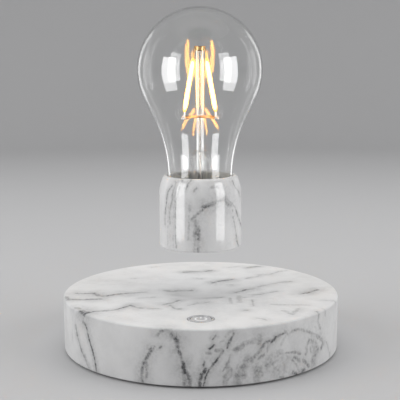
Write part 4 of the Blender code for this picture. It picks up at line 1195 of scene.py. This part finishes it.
def make_filaments():
    """Four lit filaments in their coats, the crown they hang from and the wires at their feet."""
    slot = "filament_phosphor"
    for number in range(filament_count):
        angle = eighth_turn + quarter_turn * number
        away = filament_top_offset
        spot = (away * math.cos(angle), away * math.sin(angle), filament_top)
        turn = Quaternion((0, 0, 1), angle) @ Quaternion((0, 1, 0), -filament_tilt)
        coat = turned(filament_outline(1.0, 0), small_sides, spot, turn)
        core = turned(filament_outline(core_share, core_end_gap), wire_sides, spot, turn)
        node = f"filament_{number + 1}"
        piece(f"filament_coat_{number + 1}", [coat], looks[slot], "bulb", [node])
        piece(f"filament_core_{number + 1}", [core], core_look, "bulb")

    wall = crown_wall
    inner = post_radius + seat_gap
    outer = inner + wall
    ceiling = post_top + seat_gap
    top = ceiling + wall
    edge = wall / 2
    foot = top - crown_height
    outline = [(0, top)] + arc((outer - edge, top - edge), edge, quarter_turn, 0, ring_edge_steps)
    outline += [(outer, foot), (inner, foot), (inner, ceiling), (0, ceiling)]
    shapes = [turned(outline, small_sides)]
    start = Vector((outer - edge, 0, top - crown_height / 2))
    end = Vector((filament_top_offset, 0, filament_top)) - along_filament() * seat_gap
    leave = start + Vector((crown_wire_arch / 2, 0, crown_wire_arch / 2))
    arrive = end - along_filament() * crown_wire_arch
    path = interpolate_bezier(start, leave, arrive, end, crown_wire_steps)
    for number in range(filament_count):
        turn = Matrix.Rotation(eighth_turn + quarter_turn * number, 3, "Z")
        shapes.append(wire([turn @ point for point in path], crown_wire_radius))
    slot = "support_wire"
    piece("crown_and_arms", shapes, looks[slot], "bulb", ["crown"])

    dome = math.sqrt(flare_tube_radius**2 - (lead_wire_offset - lead_wire_radius) ** 2)
    for name, side in (("front", -1), ("back", 1)):
        reach = lower_corner + lower_wire_overhang
        path = []
        for step in range(curve_steps + 1):
            across = reach * (2 * step / curve_steps - 1)
            outward_share = min((across / lower_corner) ** 2, 1)
            back = lead_wire_offset + (lower_corner - lead_wire_offset) * outward_share
            level = lower_wire_level + lower_wire_bow * (1 - outward_share)
            path.append(Vector((across, side * back, level)))
        span = [wire(path, lower_wire_radius)]
        piece(f"lower_wire_span_{name}", span, looks[slot], "bulb", [f"lower_wire_{name}"])
        lead = [
            Vector((0, side * lead_wire_offset, lower_wire_level + lower_wire_bow)),
            Vector((0, side * lead_wire_offset, flare_shoulder + dome + seat_gap)),
        ]
        piece(f"lead_end_{name}", [wire(lead, lead_wire_radius)], lead_look, "bulb")
        foot = Vector((filament_bottom_offset, 0, filament_bottom)) + along_filament() * seat_gap
        shapes = [ball(path[0], weld_spot_radius), ball(path[-1], weld_spot_radius)]
        for hand in (-1, 1):
            weld = Vector((hand * lower_corner, side * lower_corner, lower_wire_level))
            turn = Matrix.Rotation(math.atan2(side, hand), 3, "Z")
            shapes.append(wire([weld, turn @ foot], lower_tab_radius))
            shapes.append(ball(weld, weld_spot_radius))
        piece(f"weld_tabs_{name}", shapes, weld_look, "bulb")


def dress_nodes():
    """Gives each CAD node that still shows the look of its material slot."""
    for part in frame["record"]["subparts"]:
        node = frame["nodes"][part["node"]]
        is_lead = part["node"].startswith("lead_wire")
        node.data.materials.clear()
        node.data.materials.append(lead_look if is_lead else looks[part["material_slot"]])
        for face in node.data.polygons:
            face.material_index = 0


def make_room():
    """The pale round floor that curves up into a backdrop on all sides."""
    look = Look("floor_look")
    mottle = look.noise(mottle_size, 3.0)
    tone = look.mix(mottle, grey(0.50, 0.005), grey(0.52, 0.005))
    look.set(Base_Color=tone, Roughness=0.9, Specular_IOR_Level=0.0)
    look.bump(look.noise(floor_grain_size), floor_grain_depth, 0.1)
    line = [(0.0, 0.0), (floor_radius, 0.0)]
    line += arc((floor_radius, bend_radius), bend_radius, -quarter_turn, 0, bend_steps)[1:]
    line += [(floor_radius + bend_radius, backdrop_height)]
    points, loops = turned(line, base_sides)
    mesh = bpy.data.meshes.new("studio_floor")
    mesh.from_pydata(points, [], loops)
    mesh.shade_smooth()
    mesh.materials.append(look.material)
    show("studio_floor", mesh)


def keep_out_of_sight(data, kind, least):
    """Behind clear glass a lamp is met only by rays with at least so many bounces of a kind, so the
    glass shows its reflections, and the bulb in front of it isn't filled by a white panel."""
    data.use_nodes = True
    nodes = Nodes(data.node_tree)
    path = nodes.add("ShaderNodeLightPath").outputs
    few = nodes.math("LESS_THAN", path[kind], least)
    through = nodes.math("GREATER_THAN", path["Transmission Depth"], bulb_crossings)
    shown = nodes.math("SUBTRACT", 1.0, nodes.times(few, through))
    nodes.feed(nodes.tree.nodes["Emission"].inputs["Strength"], shown)


def soft_box(name, spot, target, size, glow, seen_by):
    """A soft area lamp that faces a point, and which kinds of rays meet it."""
    data = bpy.data.lights.new(name, "AREA")
    data.shape = "RECTANGLE"
    data.size, data.size_y = size
    data.energy = glow * math.pi * size[0] * size[1]
    thing = show(name, data)
    thing.location = spot
    thing.rotation_euler = (Vector(target) - Vector(spot)).to_track_quat("-Z", "Y").to_euler()
    thing.visible_camera = False
    thing.visible_diffuse = "diffuse" in seen_by
    thing.visible_glossy = "gloss" in seen_by
    thing.visible_transmission = "glass" in seen_by
    if "glass" in seen_by and "gloss" in seen_by:
        keep_out_of_sight(data, "Glossy Depth", one_bounce)
    elif "glass" in seen_by:
        keep_out_of_sight(data, "Transmission Depth", post_crossings)


def standing_box(name, bearing, distance, width, low, high, glow, seen_by):
    """A soft box that stands at a bearing from the front and faces the object."""
    middle = (low + high) / 2
    spot = (distance * math.sin(bearing), -distance * math.cos(bearing), middle)
    soft_box(name, spot, (0, 0, middle), (width, high - low), glow, seen_by)


def make_light():
    """Strips for gloss and glass, soft boxes for light, and an even soft sky."""
    for name, side, fill_glow in (("left", -1, left_fill_glow), ("right", 1, right_fill_glow)):
        strip = (side * strip_bearing, strip_distance, strip_width)
        upper = (strip_middle, strip_high, strip_high_glow)
        lower = (strip_low, strip_middle, strip_low_glow)
        standing_box(f"{name}_strip", *strip, *upper, ("gloss", "glass"))
        standing_box(f"{name}_low_strip", *strip, *lower, ("gloss", "glass"))
        rim = (side * rim_bearing, rim_distance, rim_width, rim_low, rim_high, rim_glow)
        standing_box(f"{name}_rim", *rim, ("gloss", "glass"))
        back = (side * back_bearing, back_distance, back_width, back_low, back_high, back_glow)
        standing_box(f"{name}_back_strip", *back, ("glass",))
        fill = (side * fill_bearing, fill_distance, fill_width, fill_low, fill_high, fill_glow)
        standing_box(f"{name}_fill", *fill, ("diffuse",))
    above = (0, top_setback, top_distance)
    soft_box("top_box", above, (0, 0, 0), (top_width, top_width), top_glow, ("diffuse",))
    world = bpy.data.worlds.new("studio_sky")
    bpy.context.scene.world = world
    world.use_nodes = True
    sky = world.node_tree.nodes["Background"]
    sky.inputs["Color"].default_value = (1.0, 1.0, 1.0, 1.0)
    sky.inputs["Strength"].default_value = sky_strength


def make_camera():
    """The camera at the photograph's angle."""
    data = bpy.data.cameras.new("camera")
    data.lens = camera_lens
    data.sensor_width = sensor_width
    data.clip_start = nearest_seen
    thing = show("camera", data)
    pitch = Matrix.Rotation(quarter_turn - camera_pitch, 4, "X")
    roll = Matrix.Rotation(-camera_roll, 4, "Z")
    spot = Matrix.Translation((camera_side, -camera_distance, camera_height))
    thing.matrix_world = spot @ pitch @ roll
    bpy.context.scene.camera = thing


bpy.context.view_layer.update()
bpy.context.scene.view_settings.view_transform = "Standard"
dress_nodes()
make_base()
make_key()
make_cap()
make_glass()
make_filaments()
make_room()
make_light()
make_camera()
